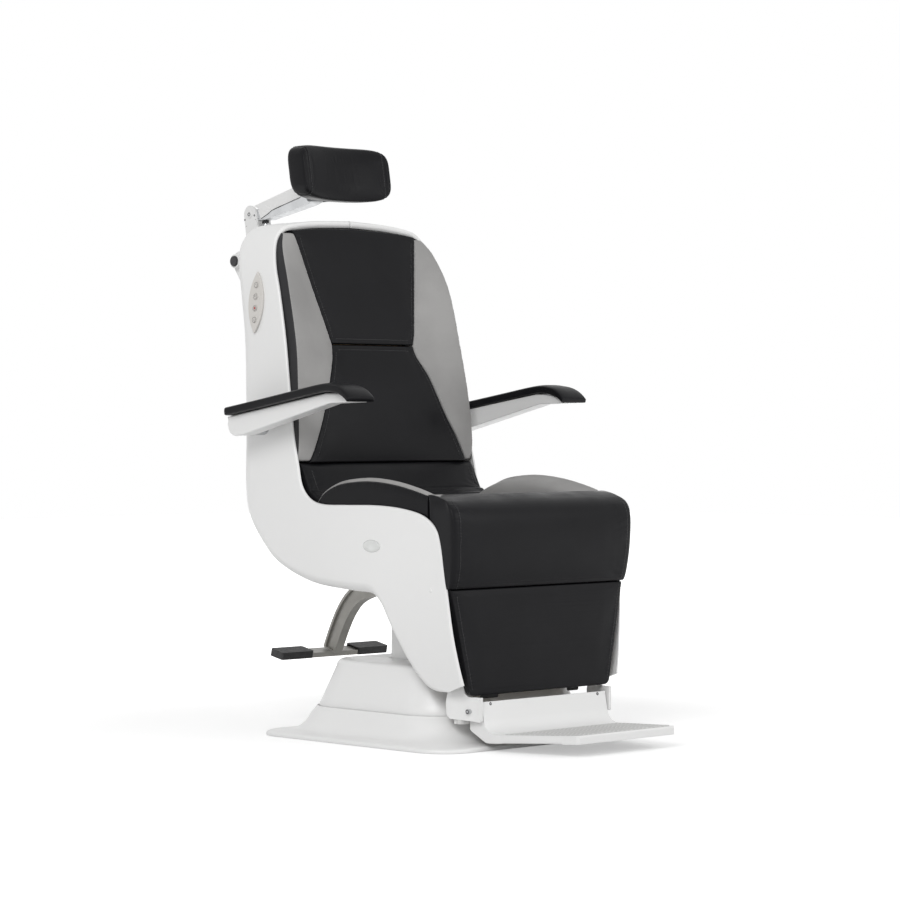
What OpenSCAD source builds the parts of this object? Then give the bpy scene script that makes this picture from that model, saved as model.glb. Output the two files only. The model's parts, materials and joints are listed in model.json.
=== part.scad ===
// Ophthalmic examination chair: electric lift column, swivelling and tilting one-piece seat shell.
// Millimetres. +Z up, the sitter looks towards -Y, origin on the column axis at floor level.

/* [Base] */
// Width of the base flange on the floor
base_w = 630; // [590:5:680]
// Reach of the base flange in front of the column axis
base_front = 312; // [300:2:330]
// Reach of the base flange behind the column axis
base_back = 296; // [285:2:320]
// Height of the flange's upright edge
base_edge_h = 7; // [5:1:9]
// Height of the seam between the skirt and the upper cover
base_seam_z = 67; // [60:1:74]
// Height of the flat top of the base
base_top_z = 168; // [162:1:174]
// Wall of the moulded covers
cover_wall = 4; // [3:0.5:5]

/* [Column] */
// Width of the visible square lift tube
column_w = 184; // [176:2:192]
// Corner radius of the visible lift tube
column_r = 16; // [10:1:24]
// Wall of the telescopic tubes
tube_wall = 4; // [3:0.5:5]
// Height of the lift tube's top plate above the floor
column_top_z = 304; // [300:1:308]
// Lift stroke
lift_stroke = 200; // [150:10:200]

/* [Seat shell] */
// Width of the seat shell over the side walls
shell_w = 550; // [530:5:570]
// Reach of the shell in front of the column axis
shell_front = 293; // [285:1:300]
// Reach of the shell behind the column axis
shell_back = 434; // [425:1:445]
// Lowest point of the side walls
shell_low_z = 119; // [112:1:126]
// Highest point of the rim behind the shoulders
shell_top_z = 1147; // [1120:1:1180]
// Wall of the side shells
shell_wall = 4; // [3:0.5:5]
// Width of the centre seam between the two side shells
shell_seam = 0.4; // [0.2:0.1:0.6]

/* [Cushions] */
// Thickness of the seat padding
seat_pad_t = 48; // [40:1:56]
// Height of the front roll
roll_h = 196; // [185:1:205]
// Width of the side bolsters
bolster_w = 66; // [55:1:75]
// Half width of the calf pad at its top
calf_top_half = 262; // [250:1:264]
// Half width of the calf pad at its bottom
calf_low_half = 213; // [200:1:216]

/* [Armrests] */
// Distance of the armrest centre from the shell
arm_beside = 53; // [49:1:61]
// Width of the armrest pad at the front
arm_pad_w = 79; // [70:1:86]
// Thickness of the armrest pad
arm_pad_t = 18; // [14:1:22]
// Width of the armrest bracket
arm_bracket_w = 40; // [32:1:46]
// Radius of the armrest pivot pin
arm_pin_r = 12; // [9:0.5:14]

/* [Headrest] */
// Width of the headrest pad
headrest_w = 264; // [240:2:290]
// Height of the headrest pad
headrest_h = 122; // [110:1:132]
// Thickness of the headrest pad
headrest_t = 56; // [46:1:62]
// Width over the mast's two cheeks
mast_w = 44; // [40:1:50]
// Lean of the mast from the upright, in degrees
mast_lean = 9; // [6:0.5:11]

/* [Footrest] */
// Half width of the footrest at the hinge
footrest_rear_half = 190; // [184:1:192]
// Half width of the footrest at its front edge
footrest_front_half = 151; // [135:1:165]
// Reach of the footrest in front of the column axis
footrest_front = 540; // [520:5:560]
// Thickness of the footrest tread
footrest_t = 18; // [14:1:22]

/* [Pedal] */
// Length of the pedal bar
pedal_bar_w = 326; // [300:2:350]
// Depth of the pedal bar
pedal_bar_d = 44; // [36:1:50]
// Thickness of the pedal arm across the chair
pedal_arm_w = 24; // [20:1:30]

/* [Hidden] */

white_paint = [0.92, 0.92, 0.91];
steel_grey = [0.55, 0.56, 0.58];
zinc_grey = [0.72, 0.73, 0.74];
mat_grey = [0.72, 0.72, 0.71];
stop_grey = [0.85, 0.85, 0.84];
keypad_grey = [0.80, 0.79, 0.77];
key_red = [0.70, 0.13, 0.13];
ply_brown = [0.72, 0.60, 0.45];
warm_grey = [0.55, 0.54, 0.51];
leather_black = [0.13, 0.13, 0.14];
leather_grey = [0.62, 0.61, 0.60];
rubber_black = [0.08, 0.08, 0.09];

// Clearances and overruns shared by all pieces
seat_gap = 0.3;
slide_gap = 0.3;
run_gap = 0.05;
cut_over = 1;
smooth = 96;

// Curves and solids from rings of points
function mix(a, b, t) = a + (b - a) * t;
function unit(v) = v / norm(v);
function keep_sign(v, p) = sign(v) * pow(abs(v), p);

// Outline points: shares of a size, laid off from an origin
function spread(origin, size, shares) = [for (s = shares) origin + [s[0] * size[0], s[1] * size[1]]];

// Smooth curve through knots, u running from 0 to the last knot's number
function spline(knots, u) =
    let (
        last = len(knots) - 1,
        i = max(min(floor(u), last - 1), 0),
        t = u - i,
        a = knots[max(i - 1, 0)],
        b = knots[i],
        c = knots[i + 1],
        d = knots[min(i + 2, last)]
    )
    0.5 * (2 * b + (c - a) * t + (2 * a - 5 * b + 4 * c - d) * t * t + (3 * b - a - 3 * c + d) * t * t * t);

// Direction of that curve at u
function heading(knots, u, step = 0.05) =
    unit(spline(knots, min(u + step, len(knots) - 1)) - spline(knots, max(u - step, 0)));

// Curve value at a given height, for knots sorted by their last number
function at_height(knots, z, i = 0) =
    i >= len(knots) - 2 || z <= knots[i + 1].z
    ? mix(knots[i], knots[i + 1], (z - knots[i].z) / (knots[i + 1].z - knots[i].z))
    : at_height(knots, z, i + 1);

// Closed solid from points and triangles, turned the right side out
module closed_solid(points, faces) {
    volumes = [for (f = faces) points[f[0]] * cross(points[f[1]], points[f[2]])];
    inside_out = [for (v = volumes) 1] * volumes > 0;
    turned = inside_out ? [for (f = faces) [f[0], f[2], f[1]]] : faces;
    polyhedron(points = points, faces = turned, convexity = 6);
}

// Closed solid through open rings of equal count, each ring zipped shut at both ends
module loft(rings) {
    n = len(rings[0]);
    last = len(rings) - 1;
    sides = [for (i = [0 : last - 1]) for (j = [0 : n - 1]) for (half = [0, 1])
        let (a = i * n + j, b = i * n + (j + 1) % n)
        half == 0 ? [a, b, b + n] : [a, b + n, a + n]];
    start = [for (j = [0 : n / 2 - 2]) for (half = [0, 1])
        half == 0 ? [j, n - 2 - j, j + 1] : [j, n - 1 - j, n - 2 - j]];
    end = [for (j = [0 : n / 2 - 2]) for (half = [0, 1])
        last * n * [1, 1, 1] + (half == 0 ? [j, j + 1, n - 2 - j] : [j, n - 2 - j, n - 1 - j])];
    closed_solid([for (r = rings) each r], concat(sides, start, end));
}

// Closed tube-like solid: the last ring joins the first
module loop_loft(rings) {
    n = len(rings[0]);
    m = len(rings);
    closed_solid([for (r = rings) each r], [for (i = [0 : m - 1]) for (j = [0 : n - 1]) for (half = [0, 1])
        let (next = (i + 1) % m * n, k = (j + 1) % n, a = i * n + j, b = i * n + k, c = next + k,
            d = next + j)
        half == 0 ? [a, b, c] : [a, c, d]]);
}

// Points of a centred rectangle with round corners
function round_rect(w, d, r, steps = 6) =
    [for (corner = [0 : 3]) for (k = [0 : steps])
        let (a = 90 * (corner + k / steps), cx = (corner == 0 || corner == 3 ? 1 : -1) * (w / 2 - r),
            cy = (corner < 2 ? 1 : -1) * (d / 2 - r))
        [cx + r * cos(a), cy + r * sin(a)]];

module round_box(w, d, h, r) {
    linear_extrude(h) polygon(round_rect(w, d, r));
}

module round_tube(w, wall, r, h) {
    linear_extrude(h) difference() {
        polygon(round_rect(w, w, r));
        polygon(round_rect(w - 2 * wall, w - 2 * wall, r - wall));
    }
}

// Extrudes a side view drawn in Y and Z across the chair, from x0 to x1
module side_extrude(x0, x1) {
    translate([x0, 0, 0]) rotate([90, 0, 90]) linear_extrude(x1 - x0) children();
}

// Extrudes a front view drawn in X and Z along the chair, from y0 to y1
module front_extrude(y0, y1) {
    translate([0, y1, 0]) rotate([90, 0, 0]) linear_extrude(y1 - y0) children();
}

// The same for a plate of thickness t on the given side, its inner face at x
module side_plate(side, x, t) {
    side_extrude(side > 0 ? x : -x - t, side > 0 ? x + t : -x) children();
}

// Cylinder along X
module x_cylinder(x0, x1, y, z, r) {
    translate([x0, y, z]) rotate([0, 90, 0]) cylinder(h = x1 - x0, r = r, $fn = smooth);
}

// Band of even thickness along a path in the side view, on the path's left side
function band_points(path, thickness) =
    let (
        last = len(path) - 1,
        offset_side = [for (i = [0 : last])
            let (along = unit(path[min(i + 1, last)] - path[max(i - 1, 0)]))
            path[i] + thickness * [-along.y, along.x]]
    )
    concat(path, [for (i = [last : -1 : 0]) offset_side[i]]);

// Cushion ring: a rounded rectangle between two ends, with its top crowned
function pad_ring(from, across, up, crown = 0, square = 5, count = 24) =
    [for (i = [0 : count - 1])
        let (
            a = 360 * (i + 0.5) / count,
            t = 0.5 + 0.5 * keep_sign(cos(a), 2 / square),
            side = 0.5 + 0.5 * keep_sign(sin(a), 2 / square),
            bow = sin(a) > 0 ? crown * (1 - pow(2 * t - 1, 2)) : 0
        )
        from + across * t + up * side + unit(up) * bow];

// Share of full size at station i of n, so that a pad's ends draw in round
function draw_in(i, n, power = 4) = pow(1 - pow(abs(2 * mix(0.02, 0.98, i / n) - 1), power), 1 / power);

// Shell outline, in shares of its half width, depth and height
shell_half = shell_w / 2;
shell_depth = shell_front + shell_back;
shell_height = shell_top_z - shell_low_z;
function place(share) =
    [share.x * shell_half, share.y * shell_depth - shell_front, share.z * shell_height + shell_low_z];

// Edge of the shell beside the cushions, from the rim's middle to the foot of the calf
front_edge_shares = [
    [0, 0.840, 1.000], [0.364, 0.839, 0.996], [0.600, 0.836, 0.989], [0.735, 0.835, 0.980],
    [0.822, 0.832, 0.960], [0.876, 0.821, 0.930], [0.920, 0.799, 0.886], [0.942, 0.772, 0.833],
    [0.964, 0.737, 0.735], [0.985, 0.707, 0.621], [0.996, 0.686, 0.531], [1.000, 0.663, 0.464],
    [1.000, 0.646, 0.419], [1.000, 0.609, 0.392], [1.000, 0.552, 0.381], [1.000, 0.444, 0.381],
    [1.000, 0.320, 0.382], [1.000, 0.210, 0.377], [1.000, 0.121, 0.364], [0.996, 0.069, 0.339],
    [0.993, 0.048, 0.307], [0.985, 0.036, 0.259], [0.978, 0.026, 0.200], [0.949, 0.017, 0.123],
    [0.909, 0.007, 0.059], [0.873, 0.000, 0.018]];
// Outer edge of the shell along the back, the underside and the calf
rear_edge_shares = [
    [0, 0.988, 1.000], [0.364, 0.989, 0.996], [0.600, 0.992, 0.989], [0.735, 0.996, 0.980],
    [0.822, 1.000, 0.960], [0.876, 1.000, 0.930], [0.920, 0.990, 0.886], [0.942, 0.978, 0.833],
    [0.964, 0.959, 0.735], [0.985, 0.945, 0.621], [0.996, 0.939, 0.517], [1.000, 0.938, 0.414],
    [1.000, 0.917, 0.347], [1.000, 0.846, 0.288], [0.996, 0.763, 0.247], [0.989, 0.623, 0.212],
    [0.985, 0.458, 0.200], [0.982, 0.365, 0.196], [0.975, 0.320, 0.176], [0.956, 0.287, 0.135],
    [0.938, 0.257, 0.098], [0.916, 0.224, 0.061], [0.895, 0.191, 0.030], [0.876, 0.155, 0.009],
    [0.865, 0.120, 0.000], [0.865, 0.073, 0.000]];
// Roll radius of the outer edge and width of its lip, in shares of the corner radius
corner_r = 45;
roll_shares = [0.4, 0.4, 0.4, 0.4, 0.4, 0.4, 0.6, 0.8, 1, 1, 1, 1, 0.95, 0.8, 0.6, 0.6, 0.6, 0.6, 0.5,
    0.45, 0.45, 0.45, 0.45, 0.35, 0.35, 0.33];
lip_shares = [0.2, 0.2, 0.2, 0.2, 0.2, 0.2, 0.4, 0.7, 0.9, 0.9, 0.9, 0.9, 0.8, 0.6, 0.5, 0.5, 0.4, 0.3,
    0.15, 0.1, 0.1, 0.1, 0.05, 0.02, 0.02, 0.02];
front_lip = 6;
front_lip_r = 5;

front_edge = [for (s = front_edge_shares) place(s)];
rear_edge = [for (s = rear_edge_shares) place(s)];

// Section across the side wall: outer skin from front lip to rear lip, then inner skin
function shell_section(u) =
    let (
        near = spline(front_edge, u),
        far = spline(rear_edge, u),
        step = 0.02,
        low = max(u - step, 0),
        high = min(u + step, len(front_edge) - 1),
        // At the centre seam the section stands square to it
        travel = u == 0 ? [1, 0, 0] : spline(front_edge, high) + spline(rear_edge, high)
            - spline(front_edge, low) - spline(rear_edge, low),
        along = unit([-(far - near).x, (far - near).y, (far - near).z]),
        out = unit(cross(along, [-travel.x, travel.y, travel.z])),
        span = norm(far - near),
        roll = spline(roll_shares, u) * corner_r,
        lip = spline(lip_shares, u) * corner_r,
        origin = [-near.x - (u == 0 ? shell_seam / 2 : 0), near.y, near.z],
        outer = concat(
            [[0, -front_lip], [0, -front_lip_r], [front_lip_r * 0.3, -front_lip_r * 0.3], [front_lip_r, 0]],
            [for (t = [0.35, 0.65]) [mix(front_lip_r, span - roll, t), 0]],
            [for (a = [0 : 22.5 : 90]) [span - roll + roll * sin(a), roll * cos(a) - roll]],
            [[span, -roll - lip]]),
        inner_roll = roll - shell_wall,
        inner = concat(
            [[shell_wall, -front_lip], [shell_wall, -front_lip_r], [shell_wall * 1.1, -shell_wall * 1.2],
                [front_lip_r + shell_wall * 0.5, -shell_wall]],
            [for (t = [0.35, 0.65]) [mix(front_lip_r, span - roll, t), -shell_wall]],
            [for (a = [0 : 22.5 : 90]) [span - roll + inner_roll * sin(a), inner_roll * cos(a) - roll]],
            [[span - shell_wall, -roll - lip]]),
        profile = concat(outer, [for (i = [len(inner) - 1 : -1 : 0]) inner[i]])
    )
    [for (p = profile) origin + along * p.x + out * p.y];

section_steps = 2;
section_count = (len(front_edge_shares) - 1) * section_steps;

module left_shell() {
    color(white_paint) loft([for (i = [0 : section_count]) shell_section(i / section_steps)]);
}

module right_shell() {
    mirror([1, 0, 0]) left_shell();
}

// Rear cover between the side shells: a joggled edge behind their lips and a crowned middle
back_cover_crown = 26;
back_cover_lap = 10;
joggle = 2;
shoulder_shares = [[0.50, 0.988, 0.9645], [0.68, 0.994, 0.956], [0.75, 0.998, 0.941]];
back_cover_last = 13;
function opening_edge(k) =
    [rear_edge[k].x - (roll_shares[k] + lip_shares[k]) * corner_r, rear_edge[k].y, rear_edge[k].z];
// Edge of the opening in the shell's rear, from the rim down to the seat corner
opening = concat([for (s = shoulder_shares) place(s)], [for (k = [6 : back_cover_last]) opening_edge(k)]);
crown_shares = [0.1, 0.3, 0.5, 1, 1, 1, 1, 1, 1, 0.8, 0.4];
function back_cover_frame(u) =
    let (path = heading([for (p = opening) [p.y, p.z]], u))
    [spline(opening, u), [0, -path.y, path.x], spline(crown_shares, u) * back_cover_crown];
function back_cover_section(u) =
    let (
        frame = back_cover_frame(u),
        edge = frame[0].x + back_cover_lap,
        skin = frame[0].x - joggle,
        inside = shell_wall + seat_gap,
        spots = [1, 0.8, 0.6, 0.4, 0.2, 0],
        outer_half = concat([[edge, -inside], [skin + joggle / 2, -inside]],
            [for (t = spots) [skin * t, frame[2] * (1 - t * t)]]),
        inner_half = concat([[edge, -inside - cover_wall], [skin - cover_wall, -inside - cover_wall]],
            [for (t = spots) [(skin - cover_wall) * t, frame[2] * (1 - t * t) - cover_wall]]),
        last = len(outer_half) - 1,
        outer = concat([for (p = outer_half) [-p.x, p.y]], [for (i = [last - 1 : -1 : 0]) outer_half[i]]),
        inner = concat([for (p = inner_half) [-p.x, p.y]], [for (i = [last - 1 : -1 : 0]) inner_half[i]]),
        profile = concat(outer, [for (i = [len(inner) - 1 : -1 : 0]) inner[i]])
    )
    [for (p = profile) [p.x, frame[0].y, frame[0].z] + frame[1] * p.y];

// Tongue at the cover's top, tucked up behind the rim's lip
tongue_h = 14;
tongue_in = 1.5;
function back_cover_tongue(rise) =
    let (
        ring = back_cover_section(0),
        half = len(ring) / 2,
        depth = shell_wall + seat_gap + tongue_in
    )
    [for (i = [0 : len(ring) - 1])
        [ring[i].x, opening[0].y - depth - (i < half ? 0 : cover_wall), opening[0].z + rise]];

module back_cover() {
    steps = 2;
    color(white_paint) loft(concat([back_cover_tongue(tongue_h), back_cover_tongue(0)],
        [for (i = [0 : (len(opening) - 1) * steps]) back_cover_section(i / steps)]));
}

// Middle line of the rear cover in the side view
function back_cover_middle(u) =
    let (frame = back_cover_frame(u))
    [frame[0].y, frame[0].z] + (frame[2] + seat_gap) * [frame[1].y, frame[1].z];

// Underside cover between the side shells, open at the turntable and the pedal arm
underside_from = 14;
underside_to = 18;
underside_in = 43;
underside_half = shell_w / 2 - underside_in;
underside_open = 130;
lip_slant = 1.4;
pedal_slot = 36;
module underside_cover() {
    steps = 2;
    path = [for (i = [underside_to * steps : -1 : underside_from * steps])
        let (
            near = spline(front_edge, i / steps),
            far = spline(rear_edge, i / steps),
            down = unit([(far - near).y, (far - near).z])
        )
        [far.y, far.z] - (shell_wall + seat_gap + lip_slant) * down];
    color(white_paint) difference() {
        side_extrude(-underside_half, underside_half) polygon(band_points(path, cover_wall));
        linear_extrude(shell_top_z) square(2 * underside_open, center = true);
        linear_extrude(shell_top_z) translate([-pedal_slot, 0]) square([2 * pedal_slot, shell_back]);
    }
}

// Base covers: rings of a rounded rectangle, each level [inset from the flange, height, corner radius]
flange_r = 78;
seam_half_w = 246;
seam_half_d = 222;
seam_r = 105;
base_half_w = base_w / 2;
// Point of the base outline at corner angle a: half width w, front f, back b, corner radius r
function base_point(w, f, b, r, z, corner, a) =
    let (
        cx = (corner == 0 || corner == 3 ? 1 : -1) * (w - r),
        cy = corner < 2 ? b - r : r - f
    )
    [cx + r * cos(a), cy + r * sin(a), z];

base_corner_steps = 7;
// A level is [share from the flange (0) to the seam (1), height, wall inset]
function skirt_point(level, corner, a) =
    base_point(
        mix(base_half_w, seam_half_w, level[0]) - level[2],
        mix(base_front, seam_half_d, level[0]) - level[2],
        mix(base_back, seam_half_d, level[0]) - level[2],
        mix(flange_r, seam_r, level[0]) - level[2],
        level[1], corner, a);

skirt_lift = 2;
seam_lip = 12;
function skirt_level(inward_share, rise_share, inset = 0) =
    [inward_share, mix(base_edge_h, base_seam_z - seat_gap, rise_share), inset];
// Concave flare from the flange to the seam, in shares of the way inward and up
flare_shares = [[0.06, 0.04], [0.28, 0.075], [0.58, 0.12], [0.77, 0.25], [0.89, 0.5], [1, 1]];

module base_skirt() {
    outer = concat([[0, skirt_lift, 0], [0, base_edge_h, 0]],
        [for (s = flare_shares) skirt_level(s[0], s[1])]);
    top_z = base_seam_z - seat_gap;
    inner = [
        [1, top_z, seam_lip], [1, top_z - cover_wall, seam_lip],
        [1, top_z - cover_wall, cover_wall],
        skirt_level(0.89, 0.5, cover_wall), skirt_level(0.77, 0.25 - 0.02, cover_wall),
        [0.58, base_edge_h, cover_wall], [0.28, base_edge_h - cover_wall / 2, cover_wall],
        [0.06, base_edge_h - cover_wall, cover_wall], [0, skirt_lift, cover_wall + cut_over]];
    levels = concat(outer, inner);
    rings = [for (corner = [0 : 3]) for (k = [0 : base_corner_steps])
        let (a = 90 * (corner + k / base_corner_steps))
        [for (level = levels) skirt_point(level, corner, a)]];
    color(white_paint) difference() {
        loop_loft([for (i = [len(rings) - 1 : -1 : 0]) rings[i]]);
        front_extrude(seam_half_d / 2, base_back) translate([0, inlet_z])
            square([inlet_w + 2 * seat_gap, inlet_h + 2 * seat_gap], center = true);
    }
}

top_half_w = 212;
top_half_d = 190;
top_r = 98;
seam_step = 5;
column_slot_gap = 1.5;
function cover_point(level, corner, a) =
    base_point(
        mix(seam_half_w - seam_step, top_half_w, level[0]) - level[2],
        mix(seam_half_d - seam_step, top_half_d, level[0]) - level[2],
        mix(seam_half_d - seam_step, top_half_d, level[0]) - level[2],
        mix(seam_r - seam_step, top_r, level[0]) - level[2],
        level[1], corner, a);

module base_cover() {
    top_edge_r = 14;
    low_z = base_seam_z;
    shoulder_z = base_top_z - top_edge_r;
    slot_half = column_middle_w / 2 + column_slot_gap;
    slot_r = column_r + tube_wall + slide_gap + column_slot_gap;
    outer = concat([[0, low_z, 0], [0.5, mix(low_z, shoulder_z, 0.5), 0]],
        [for (a = [0 : 30 : 90]) [1, shoulder_z + top_edge_r * sin(a), top_edge_r * (1 - cos(a))]]);
    inner = concat([for (a = [90 : -30 : 0])
        [1, shoulder_z + (top_edge_r - cover_wall) * sin(a),
            top_edge_r - (top_edge_r - cover_wall) * cos(a)]],
        [[0.5, mix(low_z, shoulder_z, 0.5), cover_wall], [0, low_z, cover_wall]]);
    slot_levels = [base_top_z, base_top_z - cover_wall];
    rings = [for (corner = [0 : 3]) for (k = [0 : base_corner_steps])
        let (a = 90 * (corner + k / base_corner_steps))
        concat([for (level = outer) cover_point(level, corner, a)],
            [for (z = slot_levels) base_point(slot_half, slot_half, slot_half, slot_r, z, corner, a)],
            [for (level = inner) cover_point(level, corner, a)])];
    color(white_paint) loop_loft([for (i = [len(rings) - 1 : -1 : 0]) rings[i]]);
}

// Floor plate with its anchor holes
plate_t = 12;
plate_w = 470;
plate_d = 410;
plate_r = 60;
anchor_dx = 360;
anchor_dy = 300;
anchor_r = 6;
flange_t = 10;
bolt_r = 5;
bolt_head_r = 8;
bolt_head_h = 6;
bolt_edge = 16;

module four(dx, dy) {
    for (x = [-dx / 2, dx / 2]) for (y = [-dy / 2, dy / 2]) translate([x, y, 0]) children();
}

module floor_plate() {
    color(steel_grey) difference() {
        round_box(plate_w, plate_d, plate_t, plate_r);
        four(anchor_dx, anchor_dy) translate([0, 0, -cut_over])
            cylinder(h = plate_t + 2 * cut_over, r = anchor_r, $fn = smooth);
        four(bolt_pitch, bolt_pitch) translate([0, 0, -cut_over])
            cylinder(h = plate_t + 2 * cut_over, r = bolt_r, $fn = smooth);
    }
}

// Telescopic column
column_middle_w = column_w + 2 * slide_gap + 2 * tube_wall;
column_fixed_w = column_middle_w + 2 * slide_gap + 2 * tube_wall;
column_foot_z = plate_t + flange_t;
// The bolts stand just outside the fixed tube
bolt_pitch = column_fixed_w + 2 * (bolt_head_r + seat_gap);
flange_w = bolt_pitch + 2 * bolt_edge;
tube_start_gap = 1.5;
fixed_top_z = base_top_z - cover_wall - seat_gap;

module column_fixed() {
    color(steel_grey) difference() {
        union() {
            translate([0, 0, plate_t]) round_box(flange_w, flange_w, flange_t, column_r);
            translate([0, 0, column_foot_z]) round_tube(column_fixed_w, tube_wall,
                column_r + 2 * (tube_wall + slide_gap), fixed_top_z - column_foot_z);
        }
        four(bolt_pitch, bolt_pitch) translate([0, 0, plate_t - cut_over])
            cylinder(h = flange_t + 2 * cut_over, r = bolt_r + run_gap, $fn = smooth);
    }
}

module column_bolts() {
    color(zinc_grey) four(bolt_pitch, bolt_pitch) {
        translate([0, 0, run_gap]) cylinder(h = column_foot_z, r = bolt_r - run_gap, $fn = smooth);
        translate([0, 0, column_foot_z]) cylinder(h = bolt_head_h, r = bolt_head_r, $fn = 6);
    }
}

module column_middle() {
    low_z = column_foot_z + tube_start_gap;
    color(zinc_grey) translate([0, 0, low_z])
        round_tube(column_middle_w, tube_wall, column_r + tube_wall + slide_gap, fixed_top_z - low_z);
}

column_cap_t = 8;
ram_r = 15;
module column_inner() {
    low_z = column_foot_z + tube_start_gap;
    color(white_paint) {
        translate([0, 0, low_z])
            round_tube(column_w, tube_wall, column_r, column_top_z - column_cap_t - low_z);
        translate([0, 0, column_top_z - column_cap_t]) round_box(column_w, column_w, column_cap_t, column_r);
    }
}

cylinder_r = 34;
cylinder_foot_r = 60;
cylinder_foot_t = 8;
cylinder_spare = 46;
cylinder_top_z = column_foot_z + lift_stroke + cylinder_spare;
module lift_cylinder() {
    guide_h = 24;
    color(steel_grey) translate([0, 0, column_foot_z]) difference() {
        union() {
            cylinder(h = cylinder_foot_t, r = cylinder_foot_r, $fn = smooth);
            cylinder(h = cylinder_top_z - column_foot_z, r = cylinder_r, $fn = smooth);
        }
        translate([0, 0, cylinder_foot_t])
            cylinder(h = cylinder_top_z - column_foot_z, r = ram_r + run_gap, $fn = smooth);
        translate([0, 0, cylinder_foot_t])
            cylinder(h = cylinder_top_z - column_foot_z - cylinder_foot_t - guide_h,
                r = cylinder_r - 2 * tube_wall, $fn = smooth);
    }
}

module lift_ram() {
    rest_gap = 10;
    low_z = column_foot_z + cylinder_foot_t + rest_gap;
    color(zinc_grey) translate([0, 0, low_z])
        cylinder(h = column_top_z - column_cap_t - low_z, r = ram_r, $fn = smooth);
}

module lift_motor() {
    motor_r = 20;
    motor_h = 120;
    gear_h = 30;
    motor_x = cylinder_r + motor_r + seat_gap;
    color(steel_grey) translate([motor_x, 0, column_foot_z + cylinder_foot_t]) {
        cylinder(h = motor_h, r = motor_r, $fn = smooth);
        translate([0, 0, motor_h]) cylinder(h = gear_h, r = motor_r * 0.7, $fn = smooth);
    }
}

module power_unit() {
    unit_w = 190;
    unit_d = 60;
    unit_h = 46;
    unit_y = flange_w / 2 + seat_gap + unit_d / 2;
    color(steel_grey) translate([0, unit_y, plate_t]) round_box(unit_w, unit_d, unit_h, tube_wall);
}

// Mains inlet in the rear of the skirt, facing backwards
inlet_w = 48;
inlet_h = 26;
inlet_z = 42;
module power_inlet() {
    inlet_d = 16;
    flange = 2;
    bezel = 3;
    face_share = 0.9;
    face_y = mix(base_back, seam_half_d, face_share) + flange;
    pin_w = 2;
    pin_h = 5;
    color(rubber_black) difference() {
        union() {
            front_extrude(face_y - flange - inlet_d, face_y) translate([0, inlet_z])
                square([inlet_w - 2 * bezel, inlet_h - 2 * bezel], center = true);
            front_extrude(face_y - flange / 2, face_y + flange) translate([0, inlet_z])
                square([inlet_w, inlet_h], center = true);
        }
        front_extrude(face_y - inlet_d + 2 * flange, face_y + flange + cut_over) translate([0, inlet_z])
            square([inlet_w - 4 * bezel, inlet_h - 3 * bezel], center = true);
    }
    color(zinc_grey) for (x = [-1, 0, 1])
        front_extrude(face_y - inlet_d + flange, face_y - flange) translate([x * pin_h * 1.4, inlet_z])
            square([pin_w, pin_h], center = true);
}

// Slewing ring and turntable above the column
ring_h = 8;
ring_outer_r = 88;
ring_split_r = 70;
ring_inner_r = 45;
ring_step = 2;
turntable_z = column_top_z + ring_h + ring_step;
turntable_t = 8;
turntable_r = 108;
axle_rise = 58;
axle_z = turntable_z + axle_rise;
axle_r = 12;
cheek_in = 60;
cheek_t = 12;

module flat_ring(h, outer_r, inner_r) {
    linear_extrude(h) difference() {
        circle(r = outer_r, $fn = smooth);
        circle(r = inner_r, $fn = smooth);
    }
}

module slew_ring_fixed() {
    color(steel_grey) translate([0, 0, column_top_z]) flat_ring(ring_h, ring_outer_r, ring_split_r);
}

module slew_ring_turning() {
    color(zinc_grey) translate([0, 0, column_top_z + seat_gap])
        flat_ring(turntable_z - column_top_z - seat_gap, ring_split_r - run_gap, ring_inner_r);
}

module turntable() {
    cheek_r = 28;
    foot_half = 62;
    top_z = turntable_z + turntable_t;
    color(steel_grey) {
        translate([0, 0, turntable_z]) cylinder(h = turntable_t, r = turntable_r, $fn = smooth);
        for (side = [-1, 1]) difference() {
            side_plate(side, cheek_in, cheek_t)
                polygon(concat([[-foot_half, top_z], [foot_half, top_z]],
                    [for (a = [10 : 20 : 170]) [cheek_r * cos(a), axle_z + cheek_r * sin(a)]]));
            x_cylinder(-cheek_in - 2 * cheek_t, cheek_in + 2 * cheek_t, 0, axle_z, axle_r + run_gap);
        }
    }
}

// Gearmotor of the tilt axle, between the turntable's cheeks
module tilt_drive() {
    gear_half = 34;
    gear_r = 36;
    motor_r = 24;
    motor_reach = 86;
    top_z = turntable_z + turntable_t;
    color(zinc_grey) difference() {
        union() {
            x_cylinder(-gear_half, gear_half, 0, axle_z, gear_r);
            translate([0, 0, (top_z + axle_z) / 2])
                cube([2 * gear_half, 2 * motor_r, axle_z - top_z], center = true);
            translate([0, -motor_reach, axle_z]) rotate([-90, 0, 0])
                cylinder(h = motor_reach, r = motor_r, $fn = smooth);
        }
        x_cylinder(-gear_half - cut_over, gear_half + cut_over, 0, axle_z, axle_r + run_gap);
    }
}

// Brake pedal behind the column
pedal_pivot_out = 42;
pedal_pivot_rise = 20;
pedal_pivot_y = turntable_r + pedal_pivot_out;
pedal_pivot_z = turntable_z + pedal_pivot_rise;
pedal_pin_r = 8;
bracket_t = 8;
lug_r = 16;
module pedal_bracket() {
    inner_half = pedal_arm_w / 2 + slide_gap;
    top_z = turntable_z + turntable_t;
    color(steel_grey) {
        for (side = [-1, 1]) side_plate(side, inner_half, bracket_t) polygon(concat(
            [[turntable_r / 2, top_z], [turntable_r, top_z]],
            [for (a = [-100 : 20 : 100]) [pedal_pivot_y + lug_r * cos(a), pedal_pivot_z + lug_r * sin(a)]],
            [[turntable_r / 2, pedal_pivot_z + lug_r]]));
        x_cylinder(-inner_half - bracket_t, inner_half + bracket_t, pedal_pivot_y, pedal_pivot_z,
            pedal_pin_r - run_gap);
    }
}

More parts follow.
